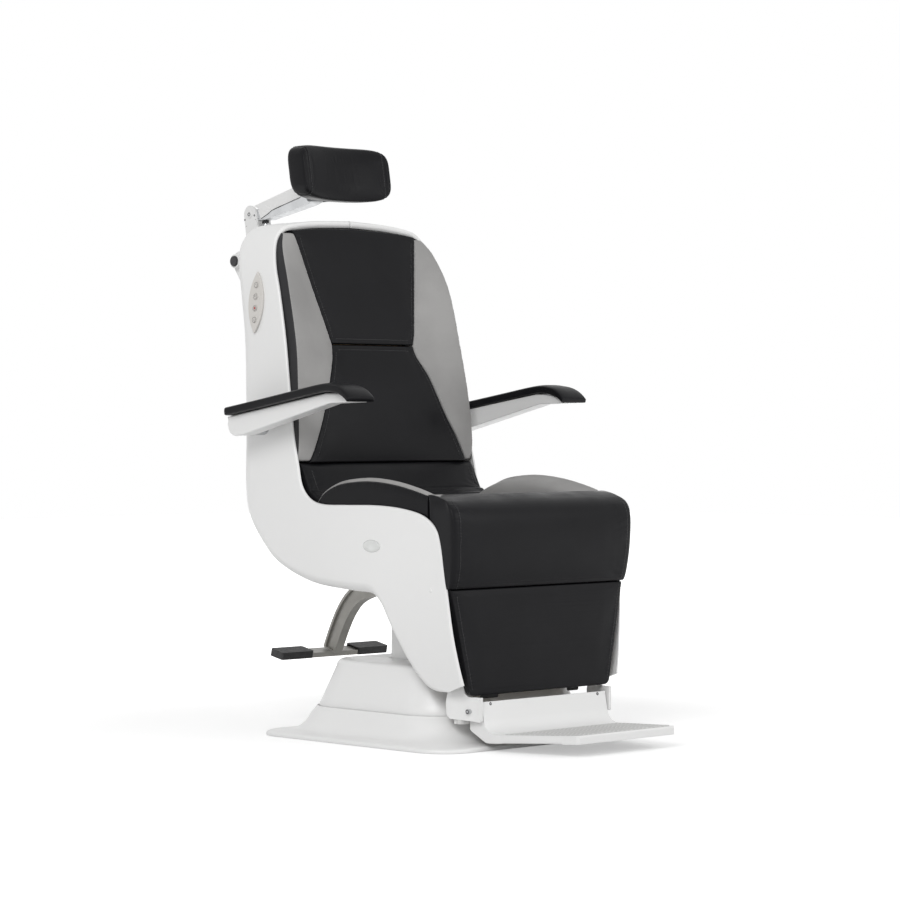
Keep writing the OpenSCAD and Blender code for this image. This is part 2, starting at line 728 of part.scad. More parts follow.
// Middle line of the pedal arm in the side view, from the pivot down to the bar
pedal_bar_t = 11;
pedal_bar_tilt = 12;
arm_depth = 40;
pedal_drop = 174;
pedal_reach = 238;
pedal_bar_y = pedal_pivot_y + pedal_reach;
pedal_bar_z = pedal_pivot_z - pedal_drop;
pedal_line_shares = [[0, 0], [0.2, 0.07], [0.44, 0.14], [0.62, 0.25], [0.75, 0.43], [0.85, 0.65],
    [0.94, 0.9], [0.96, 0.97]];
pedal_line = spread([pedal_pivot_y, pedal_pivot_z], [pedal_reach, -pedal_drop], pedal_line_shares);
function pedal_band(half, from, to, steps = 18) =
    let (
        us = [for (i = [0 : steps]) mix(from, to, i / steps)],
        sides = [for (u = us) let (along = heading(pedal_line, u)) [-along.y, along.x]]
    )
    concat([for (i = [0 : steps]) spline(pedal_line, us[i]) + half * sides[i]],
        [for (i = [steps : -1 : 0]) spline(pedal_line, us[i]) - half * sides[i]]);

module pedal_lever() {
    half = pedal_arm_w / 2;
    recess = 6;
    rim = 6;
    last = len(pedal_line_shares) - 1;
    color(warm_grey) {
        difference() {
            union() {
                side_extrude(-half, half) polygon(pedal_band(arm_depth / 2, 0.4, last));
                x_cylinder(-half, half, pedal_pivot_y, pedal_pivot_z, arm_depth / 2);
            }
            for (side = [-1, 1])
                side_plate(side, half - recess, recess + cut_over)
                    polygon(pedal_band(arm_depth / 2 - rim, 1.6, last - 0.5));
            x_cylinder(-half - cut_over, half + cut_over, pedal_pivot_y, pedal_pivot_z, pedal_pin_r);
        }
        translate([0, pedal_bar_y, pedal_bar_z]) rotate([pedal_bar_tilt, 0, 0])
            cube([pedal_bar_w - 2 * pad_over, pedal_bar_d - 2 * pad_over, pedal_bar_t], center = true);
    }
}

pad_over = 3;
pedal_pad_w = 107;
module pedal_pads() {
    inner = [pedal_bar_w - 2 * pad_over + 2 * seat_gap, pedal_bar_d - 2 * pad_over + 2 * seat_gap,
        pedal_bar_t + 2 * seat_gap];
    color(rubber_black) translate([0, pedal_bar_y, pedal_bar_z]) rotate([pedal_bar_tilt, 0, 0]) difference() {
        for (side = [-1, 1])
            translate([side * (pedal_bar_w - pedal_pad_w) / 2, 0, -pedal_bar_t / 2 - pad_over])
                round_box(pedal_pad_w, pedal_bar_d, pedal_bar_t + 2 * pad_over, 2 * pad_over);
        cube(inner, center = true);
    }
}

// Back line of the backrest padding in the side view, in shares of the shell's depth and height
back_line_shares = [[0.728, 0.468], [0.737, 0.565], [0.763, 0.662], [0.795, 0.760], [0.827, 0.857],
    [0.866, 0.972]];
back_line = spread([-shell_front, shell_low_z], [shell_depth, shell_height], back_line_shares);
function back_y(z, i = 0) =
    i >= len(back_line) - 2 || z <= back_line[i + 1].y
    ? mix(back_line[i].x, back_line[i + 1].x, (z - back_line[i].y) / (back_line[i + 1].y - back_line[i].y))
    : back_y(z, i + 1);
back_low_z = back_line[0].y;
back_high_z = back_line[len(back_line) - 1].y;

// Levels and places in the seat, in shares of the shell
seat_top_z = place([0, 0, 0.4]).z;
roll_low_z = place([0, 0, 0.216]).z;
roll_back_y = place([0, 0.106, 0]).y;
upright_top_z = place([0, 0, 0.915]).z;
back_tube_z = place([0, 0, 0.808]).z;
pan_t = 8;
board_t = 10;
board_gap = 1.2;
upright_d = 30;

// Steel frame of the seat
lug_gap = 8;
rail_in = cheek_in + cheek_t + lug_gap;
rail_w = 30;
rail_h = 30;
rail_rise = 20;
rail_low_z = axle_z + rail_rise;
leg_t = 5;
leg_y = roll_back_y + pan_t + seat_gap;
rail_front = -leg_y - leg_t;
rail_rear = back_line[0].x + board_gap + board_t + seat_gap + upright_d / 2;
lug_t = 12;
cross_r = 12;
cross_z = rail_low_z + rail_h / 2;
cross_front_y = -170;
cross_rear_y = 70;

module tilt_axle() {
    color(zinc_grey) x_cylinder(-rail_in - lug_t, rail_in + lug_t, 0, axle_z, axle_r);
}

module seat_rails() {
    eye_r = 24;
    color(steel_grey) for (side = [-1, 1]) difference() {
        union() {
            side_plate(side, rail_in, rail_w) polygon([[-rail_front, rail_low_z], [rail_rear, rail_low_z],
                [rail_rear, rail_low_z + rail_h], [-rail_front, rail_low_z + rail_h]]);
            side_plate(side, rail_in, lug_t) polygon(concat(
                [[eye_r * 2, rail_low_z + cut_over], [-eye_r * 2, rail_low_z + cut_over]],
                [for (a = [-170 : 20 : -10]) [eye_r * cos(a), axle_z + eye_r * sin(a)]]));
        }
        x_cylinder(-shell_half, shell_half, 0, axle_z, axle_r + run_gap);
        for (y = [cross_front_y, cross_rear_y])
            x_cylinder(-shell_half, shell_half, y, cross_z, cross_r + run_gap);
    }
}

module back_uprights() {
    front = board_gap + board_t + seat_gap;
    zs = concat([for (p = back_line) if (p.y < upright_top_z) p.y], [upright_top_z]);
    path = concat([[rail_rear - upright_d, rail_low_z + rail_h]], [for (z = zs) [back_y(z) + front, z]]);
    color(steel_grey) for (side = [-1, 1]) difference() {
        side_plate(side, rail_in, rail_w)
            polygon(concat(path, [for (i = [len(path) - 1 : -1 : 0]) path[i] + [upright_d, 0]]));
        x_cylinder(-shell_half, shell_half, back_tube_y, back_tube_z, cross_r + run_gap);
    }
}

// Cross tubes that carry the side shells
back_tube_y = back_y(back_tube_z) + board_gap + board_t + seat_gap + upright_d / 2;
module cross_tubes() {
    seat_half = shell_half - 3 * shell_wall;
    back_half = at_wall(back_tube_z) - 3 * shell_wall;
    color(steel_grey) {
        for (y = [cross_front_y, cross_rear_y]) x_cylinder(-seat_half, seat_half, y, cross_z, cross_r);
        x_cylinder(-back_half, back_half, back_tube_y, back_tube_z, cross_r);
    }
}

// Half width of the shell's outer face beside the backrest at height z
function at_wall(z) =
    let (knots = [for (i = [len(front_edge) - 15 : -1 : 5]) front_edge[i]]) at_height(knots, z).x;

// Seat pan: a bent board under the seat cushions, from the front roll up to the lumbar cushion
pan_side_inset = 20;
pan_half = shell_half - pan_side_inset;
pan_low_z = seat_top_z - seat_pad_t - pan_t;
pan_bend = 30;
bend_share = 0.3;
pan_rear_y = 120;
pan_stop = 4;
pan_foot_y = roll_back_y + pan_t;
pan_end = back_line[0] - [pan_stop, pan_stop];
pan_rear_shares = [[0, 0], [0.355, 0.098], [0.69, 0.358], [1, 1]];
pan_path = concat(
    [[pan_foot_y, roll_low_z], [pan_foot_y, pan_low_z - pan_bend],
        [pan_foot_y + pan_bend * bend_share, pan_low_z - pan_bend * bend_share],
        [pan_foot_y + pan_bend, pan_low_z]],
    spread([pan_rear_y, pan_low_z], [pan_end.x - pan_rear_y, pan_end.y - pan_low_z], pan_rear_shares));
module seat_pan() {
    color(ply_brown) side_extrude(-pan_half, pan_half) polygon(band_points(pan_path, pan_t));
}

module backrest_board() {
    low_gap = 4;
    high_gap = 12;
    wing_inset = 14;
    inner_zs = [for (i = [1 : len(back_line) - 2]) back_line[i].y];
    zs = concat([back_low_z + low_gap], inner_zs, [back_high_z - high_gap]);
    near = [for (z = zs) [back_y(z) + board_gap, z]];
    wing_xs = [for (z = zs) [at_height(wing_edge, z).x - wing_inset, z]];
    color(ply_brown) intersection() {
        side_extrude(-shell_half, shell_half)
            polygon(concat(near, [for (i = [len(near) - 1 : -1 : 0]) near[i] + [board_t, 0]]));
        front_extrude(0, shell_back)
            polygon(concat(wing_xs, [for (i = [len(zs) - 1 : -1 : 0]) [-wing_xs[i].x, wing_xs[i].y]]));
    }
}

// Padding of the backrest: hourglass centre between two raised wings
wing_edge_shares = [
    [0.971, 0.673, 0.468], [0.975, 0.666, 0.513], [0.964, 0.675, 0.604], [0.931, 0.699, 0.721],
    [0.909, 0.744, 0.851], [0.850, 0.795, 0.930], [0.765, 0.825, 0.968]];
centre_edge_shares = [
    [0.873, 0.653, 0.468], [0.771, 0.660, 0.524], [0.676, 0.673, 0.574], [0.553, 0.696, 0.653],
    [0.458, 0.728, 0.711], [0.491, 0.741, 0.757], [0.582, 0.777, 0.857], [0.680, 0.816, 0.971]];
wing_edge = [for (s = wing_edge_shares) place(s)];
centre_edge = [for (s = centre_edge_shares) place(s)];
seam_gap = 0.4;
top_bow = 9;
pad_crown = 4;
tight_crown = 3;

module backrest_centre() {
    n = 18;
    color(leather_black) loft([for (i = [0 : n])
        let (
            z = mix(back_low_z, back_high_z, i / n),
            edge = at_height(centre_edge, z),
            half = edge.x - seam_gap,
            full = draw_in(i, n, 8),
            depth = back_y(z) - edge.y,
            from = [half, back_y(z) - depth * (1 - full) / 4, z],
            ring = pad_ring(from, [-2 * half, 0, 0], [0, -depth * full, 0], tight_crown, 8)
        )
        [for (p = ring) p + [0, 0, top_bow * pow(i / n, 6) * (1 - pow(p.x / half, 2))]]]);
}

module left_wing() {
    n = 16;
    color(leather_grey) loft([for (i = [0 : n])
        let (
            z = mix(back_low_z, back_high_z - pad_crown, i / n),
            inner = at_height(centre_edge, z),
            outer = at_height(wing_edge, z),
            full = draw_in(i, n, 8),
            depth = back_y(z) - inner.y,
            width = outer.x - inner.x,
            lean = outer.y - inner.y
        )
        [for (p = pad_ring([0, 0, 0], [width, 0, 0], [0, -depth * full, 0], pad_crown, 7))
            [-outer.x + p.x, back_y(z) + p.y + (p.y / -depth) * lean * (1 - p.x / width), z]]]);
}

module right_wing() {
    mirror([1, 0, 0]) left_wing();
}

// Seat padding
seat_side_inset = 9;
seat_dish = 6;
seat_inner_half = shell_half - seat_side_inset - bolster_w;
module seat_cushion() {
    n = 12;
    end_gap = 3;
    front = roll_back_y + end_gap;
    rear = pan_rear_y - end_gap;
    color(leather_black) loft([for (i = [0 : n])
        let (full = draw_in(i, n, 6), y = mix(front, rear, i / n))
        pad_ring([-seat_inner_half, y, pan_low_z + pan_t + seat_gap], [2 * seat_inner_half, 0, 0],
            [0, 0, (seat_pad_t - seat_dish) * full], pad_crown, 8)]);
}

// Front roll: full width, its flat face leaning slightly forward and its top edge round
roll_inset = 7.3;
roll_low_inset = 12.6;
roll_half = shell_half - roll_inset;
roll_low_half = shell_half - roll_low_inset;
module front_roll() {
    n = 14;
    lean = 12;
    depth = 66;
    round_share = 0.4;
    wide_share = 0.65;
    foot_share = 0.08;
    color(leather_black) loft([for (i = [0 : n])
        let (
            t = i / n,
            z = roll_low_z + roll_h * t,
            full = pow(1 - pow(max(t - 1 + round_share, 0) / (round_share * 1.05), 3), 1 / 3),
            low = pow(1 - pow(max(foot_share - t, 0) / (foot_share * 1.25), 2), 1 / 2),
            reach = (depth + lean * sin(120 * t)) * full * mix(0.85, 1, low),
            half = mix(roll_low_half, roll_half, min(t / wide_share, 1))
        )
        pad_ring([half, roll_back_y - seat_gap, z], [-2 * half, 0, 0], [0, -reach, 0], tight_crown, 14)]);
}

bolster_crown = 5;
bolster_shares = [
    [0.590, 0.383], [0.576, 0.401], [0.536, 0.420], [0.480, 0.432], [0.424, 0.438], [0.312, 0.439],
    [0.204, 0.432], [0.140, 0.422], [0.112, 0.412]];
module left_bolster() {
    n = 16;
    low_z = pan_low_z + pan_t + seat_gap;
    // The rear end follows the pan where that starts to rise
    pan_clear = 2;
    rise = pan_rear_shares[1];
    rear_slope = rise[1] * (pan_end.y - pan_low_z) / (rise[0] * (pan_end.x - pan_rear_y));
    tops = spread([-shell_front, shell_low_z], [shell_depth, shell_height], bolster_shares);
    color(leather_grey) loft([for (i = [0 : n])
        let (
            top = spline(tops, i / n * (len(tops) - 1)),
            foot_z = low_z + max(top.x - pan_rear_y + pan_clear, 0) * rear_slope
        )
        pad_ring([-seat_inner_half - seam_gap - bolster_w, top.x, foot_z], [bolster_w, 0, 0],
            [0, 0, top.y - foot_z - bolster_crown], bolster_crown, 6)]);
}

module right_bolster() {
    mirror([1, 0, 0]) left_bolster();
}

// Rear of the seat, turned up to meet the backrest
lumbar_inset = 13;
lumbar_top_t = 36;
lumbar_half = shell_half - lumbar_inset;
module lumbar_cushion() {
    n = 10;
    last = len(pan_path) - 1;
    first = last - len(pan_rear_shares) + 2;
    band = band_points(pan_path, pan_t + seat_gap);
    top = [for (i = [first : last]) band[2 * last + 1 - i]];
    color(leather_black) loft([for (i = [0 : n])
        let (
            u = i / n * (len(top) - 1),
            k = min(floor(u), len(top) - 2),
            p = mix(top[k], top[k + 1], u - k),
            along = heading(top, u, 0.5),
            turn = pow(i / n, 3),
            out = unit(mix([-along.y, along.x], [-1, 0], turn)),
            thick = mix(seat_pad_t - seat_dish, lumbar_top_t, i / n) * draw_in(i, n, 6)
        )
        pad_ring([-lumbar_half, p.x, p.y], [2 * lumbar_half, 0, 0], thick * [0, out.x, out.y],
            pad_crown, 10)]);
}

// Calf pad on its board: thin at the foot, so that it clears the base when the chair swivels
calf_gap = 4;
calf_drop = 5;
calf_face_in = 4;
calf_face_lean = 5;
calf_low_t = 15;
calf_high_t = 38;
calf_high_z = roll_low_z - calf_gap;
calf_low_z = shell_low_z - calf_drop;
calf_face_low = calf_face_in - shell_front;
calf_face_high = calf_face_low + calf_face_lean;
calf_back_low = calf_face_low + calf_low_t;
calf_back_high = calf_face_high + calf_high_t;
module calf_pad() {
    n = 14;
    color(leather_black) loft([for (i = [0 : n])
        let (
            t = i / n,
            z = mix(calf_low_z, calf_high_z, t),
            full = draw_in(i, n, 8),
            half = mix(calf_low_half, calf_top_half, t) * mix(0.97, 1, full),
            back = mix(calf_back_low, calf_back_high, t),
            face = mix(calf_face_low, calf_face_high, t)
        )
        pad_ring([half, back, z], [-2 * half, 0, 0], [0, (face - back) * full, 0], tight_crown, 12)]);
}

calf_board_t = 4;
module calf_board() {
    low_gap = 8;
    side_inset = 10;
    leg_h = 90;
    board_low_z = calf_low_z + low_gap;
    slope = (calf_back_high - calf_back_low) / (calf_high_z - calf_low_z);
    low_y = calf_back_low + seat_gap + slope * low_gap;
    high_y = calf_back_high + seat_gap;
    legs_y = high_y + 2 * calf_board_t;
    low_half = calf_low_half - side_inset;
    high_half = calf_top_half - side_inset;
    color(ply_brown) intersection() {
        side_extrude(-shell_half, shell_half)
            polygon([[low_y, board_low_z], [low_y + calf_board_t, board_low_z], [legs_y, calf_high_z],
                [high_y, calf_high_z]]);
        front_extrude(-shell_front, 0)
            polygon([[-low_half, board_low_z], [low_half, board_low_z], [high_half, calf_high_z],
                [-high_half, calf_high_z]]);
    }
    // Two legs join the board to the seat pan's apron
    color(ply_brown) for (side = [-1, 1]) side_plate(side, rail_in, rail_w) polygon([
        [legs_y, calf_high_z], [legs_y - slope * leg_h, calf_high_z - leg_h], [-rail_front, calf_high_z],
        [-rail_front, rail_low_z + rail_h], [leg_y, rail_low_z + rail_h],
        [leg_y, calf_high_z + seat_gap], [legs_y, calf_high_z + seat_gap]]);
}

// Armrests: the bracket's outline is laid off forwards and upwards from the rear end of its top
arm_pivot_y = 305;
arm_pivot_z = 684;
arm_tail = 45;
arm_head = 17;
arm_reach = 428;
arm_rise = 51;
arm_inner_gap = 6;
arm_x = shell_w / 2 + arm_beside;
arm_inner = arm_x - arm_bracket_w / 2 - arm_inner_gap;
arm_rear = [arm_pivot_y + arm_tail, arm_pivot_z + arm_head];
hub_r = 24;
module arm_hubs() {
    wall_x = max(at_wall(arm_pivot_z - hub_r), at_wall(arm_pivot_z + hub_r)) + seat_gap;
    outer_x = arm_inner + arm_bracket_w - tube_wall;
    color(zinc_grey) for (side = [0, 1]) mirror([side, 0, 0]) {
        x_cylinder(wall_x, arm_inner - seat_gap, arm_pivot_y, arm_pivot_z, hub_r);
        x_cylinder(wall_x, outer_x, arm_pivot_y, arm_pivot_z, arm_pin_r);
    }
}

// Top line of the bracket, which is also the pad's underside, and the line below it
arm_top_shares = [[0, 0], [0.257, 0.33], [0.514, 0.67], [0.771, 1], [0.869, 0.98], [0.935, 0.843],
    [0.986, 0.608]];
arm_low_shares = [[0.911, 0.588], [0.794, 0.549], [0.654, 0.275], [0.374, -0.275], [0.133, -0.784]];
arm_top_line = spread(arm_rear, [-arm_reach, arm_rise], arm_top_shares);
module left_arm() {
    tail_r = 26;
    tail_out = 16;
    outline = concat(
        [for (p = arm_top_line) p - [0, seat_gap]],
        spread(arm_rear, [-arm_reach, arm_rise], arm_low_shares),
        [for (a = [-90 : 22.5 : 22.5])
            [arm_pivot_y + tail_out + tail_r * cos(a), arm_pivot_z + tail_r * sin(a)]]);
    color(white_paint) difference() {
        side_extrude(-arm_inner - arm_bracket_w, -arm_inner) polygon(outline);
        x_cylinder(-arm_inner - arm_bracket_w + tube_wall - seat_gap, cut_over - arm_inner, arm_pivot_y,
            arm_pivot_z, arm_pin_r + run_gap);
    }
}

module left_arm_pad() {
    n = 13;
    rear_half = 30;
    crown = 2;
    color(leather_black) loft([for (i = [0 : n])
        let (
            u = i / n * (len(arm_top_line) - 1),
            p = spline(arm_top_line, u),
            along = heading(arm_top_line, u),
            half = mix(rear_half, arm_pad_w / 2, pow(i / n, 1.5)),
            full = i == n ? 0.35 : i == n - 1 ? 0.8 : i == 0 ? 0.75 : 1
        )
        pad_ring([-arm_x + half, p.x, p.y + seat_gap], [-2 * half, 0, 0],
            arm_pad_t * full * [0, along.y, -along.x], crown, 6)]);
}

module right_arm() {
    mirror([1, 0, 0]) left_arm();
}

module right_arm_pad() {
    mirror([1, 0, 0]) left_arm_pad();
}

// Headrest: mast in the rear housing, link arm and tilting pad
mast_y = 645;
mast_pivot_z = 1177;
mast_d = 42;
cheek_plate = 5;
mast_down = 15;
mast_length = 148.8;
arm_half = mast_w / 2 - cheek_plate - slide_gap;
pivot_r = 6;
washer_t = 2.5;
washer_over = 2;

// Places children in the mast's leaning frame, whose origin is the pivot
module on_mast() {
    translate([0, mast_y, mast_pivot_z]) rotate([-mast_lean, 0, 0]) children();
}

module headrest_mast() {
    web = 5;
    web_top = 30;
    color(white_paint) on_mast() difference() {
        union() {
            for (side = [-1, 1]) {
                x0 = side > 0 ? mast_w / 2 - cheek_plate : -mast_w / 2;
                x_cylinder(x0, x0 + cheek_plate, 0, 0, mast_d / 2);
                translate([x0, -mast_d / 2, -mast_length]) cube([cheek_plate, mast_d, mast_length]);
            }
            translate([-mast_w / 2, mast_d / 2 - web, -mast_length])
                cube([mast_w, web, mast_length - web_top]);
        }
        x_cylinder(-mast_w, mast_w, 0, 0, pivot_r);
    }
    color(steel_grey) on_mast() {
        x_cylinder(-mast_w / 2 - washer_t, mast_w / 2 + washer_t, 0, 0, pivot_r - run_gap);
        for (side = [0, 1]) mirror([side, 0, 0])
            x_cylinder(mast_w / 2, mast_w / 2 + washer_t, 0, 0, pivot_r + washer_over);
    }
}

// Rear housing: a fairing on the back cover, with the mast's channel and the lock's boss
housing_half = 45;
boss_behind = 11;
boss_below = 111;
boss_y = mast_y + boss_behind;
boss_z = mast_pivot_z - boss_below;
boss_r = 24;
boss_over = 20;
housing_h = 296;
housing_top_z = boss_z + boss_over;
housing_low_z = housing_top_z - housing_h;
button_r = 12.2;
button_reach = 60;
button_travel = 4;
// Line under the boss, in shares of the boss's radius
fairing_shares = [[-0.58, -2.58], [-1.83, -4.42]];
brow_shares = [[-2.92, 1.04]];
module headrest_housing() {
    channel_w = mast_w + 2 * slide_gap;
    channel_d = mast_d + 2 * slide_gap;
    depth = mast_length + mast_down + cut_over;
    barrel_wall = 4;
    brow = 8;
    foot = 28;
    steps = 2;
    last = (len(opening) - 1) * steps;
    middle = [for (i = [last : -1 : 0]) back_cover_middle(i / steps)];
    front = [for (p = middle) if (p.y > housing_low_z && p.y < housing_top_z) p];
    outline = concat(
        front,
        [[front[len(front) - 1].x + brow, housing_top_z]],
        spread([boss_y, boss_z], [boss_r, boss_r], brow_shares),
        [for (a = [100 : -22 : -32]) [boss_y + boss_r * cos(a), boss_z + boss_r * sin(a)]],
        spread([boss_y, boss_z], [boss_r, boss_r], fairing_shares),
        [front[0] + [foot, -barrel_wall]]);
    color(white_paint) difference() {
        union() {
            side_extrude(-housing_half, housing_half) polygon(outline);
            x_cylinder(-button_reach, 0, boss_y, boss_z, button_r + barrel_wall);
        }
        on_mast() translate([-channel_w / 2, -channel_d / 2, -depth])
            cube([channel_w, channel_d, mast_pivot_z]);
        x_cylinder(-button_reach - cut_over, -housing_half + button_travel, boss_y, boss_z,
            button_r + run_gap);
    }
}

module height_button() {
    stop_gap = 1;
    color(rubber_black) x_cylinder(-button_reach - button_travel - stop_gap, -housing_half - stop_gap,
        boss_y, boss_z, button_r);
}

// Link arm in the side view: its outline is laid off forwards from the mast's pivot, in shares of its reach
link_reach = 208;
link_rise = 29;
pad_hinge_y = mast_y - link_reach;
pad_hinge_z = mast_pivot_z + link_rise;
nose_r = 11;
nose_pin_r = 4;
tail_r = 14;
link_low_shares = [[0, -0.067], [0.231, -0.067], [0.308, -0.053], [0.928, 0.0625]];
link_high_shares = [[1.014, 0.192], [0.851, 0.159], [0.394, 0.038], [0.197, 0.019], [0, 0.067]];
function on_link(shares) = spread([mast_y, mast_pivot_z], [-link_reach, link_reach], shares);
module headrest_arm() {
    nose = [for (a = [-100 : -20 : -180]) [pad_hinge_y + nose_r * cos(a), pad_hinge_z + nose_r * sin(a)]];
    color(zinc_grey) difference() {
        union() {
            side_extrude(-arm_half, arm_half)
                polygon(concat(on_link(link_low_shares), nose, on_link(link_high_shares)));
            x_cylinder(-arm_half, arm_half, mast_y, mast_pivot_z, tail_r);
        }
        x_cylinder(-mast_w, mast_w, mast_y, mast_pivot_z, pivot_r + run_gap);
        x_cylinder(-mast_w, mast_w, pad_hinge_y, pad_hinge_z, nose_pin_r);
    }
}

// Cover on the link arm: its lower line follows the arm a gap above it, and its hollow opens downwards
cover_low_shares = [[0.851, 0.159], [0.394, 0.038], [0.2, 0.02]];
cover_high_shares = [[0.096, 0.07], [0.038, 0.096], [0.697, 0.264], [0.928, 0.303], [0.942, 0.185]];
cover_hollow_shares = [[0.841, 0.111], [0.394, 0.014], [0.188, -0.01], [0.12, 0.053], [0.697, 0.245],
    [0.87, 0.274]];
module headrest_arm_cover() {
    wall = 2.5;
    color(white_paint) difference() {
        side_extrude(run_gap - arm_half, arm_half - run_gap) polygon(concat(
            [for (p = on_link(cover_low_shares)) p + [0, seat_gap]], on_link(cover_high_shares)));
        side_extrude(-arm_half + wall, arm_half - wall) polygon(on_link(cover_hollow_shares));
    }
}

// Headrest pad, wrapping slightly round the head
pad_stand = 29;
pad_above = 48;
headrest_back_y = pad_hinge_y - pad_stand;
headrest_z = pad_hinge_z + pad_above;
module headrest_pad() {
    n = 16;
    wrap = 14;
    lug = 4;
    eye_r = 9;
    lug_top = 6;
    lug_in = 2;
    color(leather_black) loft([for (i = [0 : n])
        let (
            t = 2 * i / n - 1,
            full = draw_in(i, n, 5),
            x = t * headrest_w / 2,
            forward = -wrap * t * t,
            back = headrest_back_y + forward * 0.7 - (1 - full) * wrap
        )
        pad_ring([x, back, headrest_z - headrest_h / 2 * full], [0, 0, headrest_h * full],
            [0, -headrest_t * mix(0.55, 1, full) + forward * 0.3, 0], 0, 5)]);
    // Two lugs and a pin hang the pad on the arm's nose
    color(steel_grey) {
        for (side = [0, 1]) mirror([side, 0, 0]) side_extrude(arm_half + run_gap, arm_half + run_gap + lug)
            polygon(concat(
                [[headrest_back_y - lug_in, headrest_z + lug_top],
                    [headrest_back_y - lug_in, pad_hinge_z - eye_r]],
                [for (a = [-90 : 22.5 : 90]) [pad_hinge_y + eye_r * cos(a), pad_hinge_z + eye_r * sin(a)]],
                [[headrest_back_y + lug, headrest_z + lug_top]]));
        x_cylinder(-arm_half - lug, arm_half + lug, pad_hinge_y, pad_hinge_z, nose_pin_r - run_gap);
    }
}

// Footrest: one folded plate with cheeks, in shares of its reach and of the kick panel's height
hinge_y = -278;
hinge_z = 82;
hinge_r = 5;
foot_h = 84;
foot_low_z = 18;
foot_kick_top = foot_low_z + foot_h;
foot_reach = footrest_front + hinge_y;
tread_rise = 10;
cheek_wall = 5;
foot_nose = 3;
kick_shares = [[0.08, 1], [0.061, 1], [-0.053, 0.476], [-0.053, 0.298], [-0.038, 0.25], [0.122, 0],
    [0.16, -0.012]];
tread_shares = [[0.26, 0.214], [0.198, 0.232], [0.157, 0.286], [0.126, 0.381], [0.107, 0.548]];
hollow_shares = [[0.065, 1.02], [0.092, 0.524], [0.111, 0.357], [0.145, 0.244], [0.198, 0.179],
    [0.847, 0.25], [0.847, 0.024], [0.198, -0.095], [-0.061, -0.095], [-0.061, 1.02]];
function on_foot(shares) = spread([hinge_y, foot_low_z], [-foot_reach, foot_h], shares);
tread_front_z = foot_low_z + tread_rise + footrest_t;
taper_from = 52;
tread_corner = 6;
module footrest() {
    open_end = 28;
    front_low_z = foot_low_z + tread_rise;
    rear_x = footrest_rear_half;
    front_x = footrest_front_half;
    front_edge_line = [[-footrest_front, front_low_z], [-footrest_front, tread_front_z - foot_nose],
        [foot_nose - footrest_front, tread_front_z]];
    color(white_paint) difference() {
        intersection() {
            side_extrude(-shell_half, shell_half)
                polygon(concat(on_foot(kick_shares), front_edge_line, on_foot(tread_shares)));
            linear_extrude(foot_kick_top + cut_over) polygon([
                [rear_x, hinge_y + open_end], [-rear_x, hinge_y + open_end],
                [-rear_x, hinge_y - taper_from], [-front_x, tread_corner - footrest_front],
                [tread_corner - front_x, -footrest_front], [front_x - tread_corner, -footrest_front],
                [front_x, tread_corner - footrest_front], [rear_x, hinge_y - taper_from]]);
        }
        // Open behind the kick panel and under the tread
        side_extrude(cheek_wall - rear_x, rear_x - cheek_wall) polygon(on_foot(hollow_shares));
        x_cylinder(-shell_half, shell_half, hinge_y, hinge_z, hinge_r + run_gap);
    }
}

// Height of the tread's top at y
tread_start = on_foot(tread_shares)[0];
function tread_z(y) = mix(tread_start.y, tread_front_z,
    (y - tread_start.x) / (foot_nose - footrest_front - tread_start.x));
module footrest_mat() {
    mat_t = 1.5;
    rear_inset = 14;
    front_inset = 9;
    mat_corner = 8;
    rear_y = tread_start.x - mat_corner;
    front_y = front_inset - footrest_front;
    rear_half = footrest_rear_half - rear_inset;
    front_half = footrest_front_half - foot_nose;
    foot = [[rear_y, tread_z(rear_y) + run_gap], [front_y, tread_z(front_y) + run_gap]];
    color(mat_grey) intersection() {
        side_extrude(-shell_half, shell_half)
            polygon([foot[0], foot[1], foot[1] + [0, mat_t], foot[0] + [0, mat_t]]);
        linear_extrude(shell_half) polygon([
            [rear_half, rear_y], [-rear_half, rear_y], [-front_half, front_y + mat_corner],
            [mat_corner - front_half, front_y], [front_half - mat_corner, front_y],
            [front_half, front_y + mat_corner]]);
    }
}

// Slanted hinge brackets below the calf, in shares of their height round the hinge
bracket_h = 90;
bracket_wall = 7;
bracket_shares = [[-0.322, -0.211], [-0.322, 0.333], [0.022, 0.333], [0.111, 0.422], [0.156, 0.756],
    [0.378, 0.756], [0.533, 0.533], [0.622, 0.2], [0.6, -0.089], [0.544, -0.156], [0.467, -0.189],
    [-0.133, -0.233], [-0.289, -0.244]];
bracket = spread([hinge_y, hinge_z], [bracket_h, bracket_h], bracket_shares);
module hinge_brackets() {
    side_gap = 4;
    flat_to = 8;
    bend_to = 42;
    slip = 3;
    front_x = footrest_rear_half + side_gap;
    rear_x = calf_low_half;
    color(white_paint) for (side = [0, 1]) mirror([side, 0, 0]) difference() {
        intersection() {
            side_extrude(0, shell_half) polygon(bracket);
            linear_extrude(shell_low_z * 2) polygon([
                [front_x, hinge_y - bracket_h], [front_x, hinge_y - flat_to], [rear_x, hinge_y + bend_to],
                [rear_x, hinge_y + bracket_h], [rear_x + bracket_wall, hinge_y + bracket_h],
                [rear_x + bracket_wall, hinge_y + bend_to - slip],
                [front_x + bracket_wall, hinge_y - flat_to - slip],
                [front_x + bracket_wall, hinge_y - bracket_h]]);
        }
        x_cylinder(0, shell_half, hinge_y, hinge_z, hinge_r + run_gap);
    }
}

module hinge_pins() {
    head = 2;
    pin_reach = 22;
    color(zinc_grey) for (side = [0, 1]) mirror([side, 0, 0]) x_cylinder(
        footrest_rear_half - cheek_wall - head, footrest_rear_half + pin_reach, hinge_y, hinge_z, hinge_r);
}

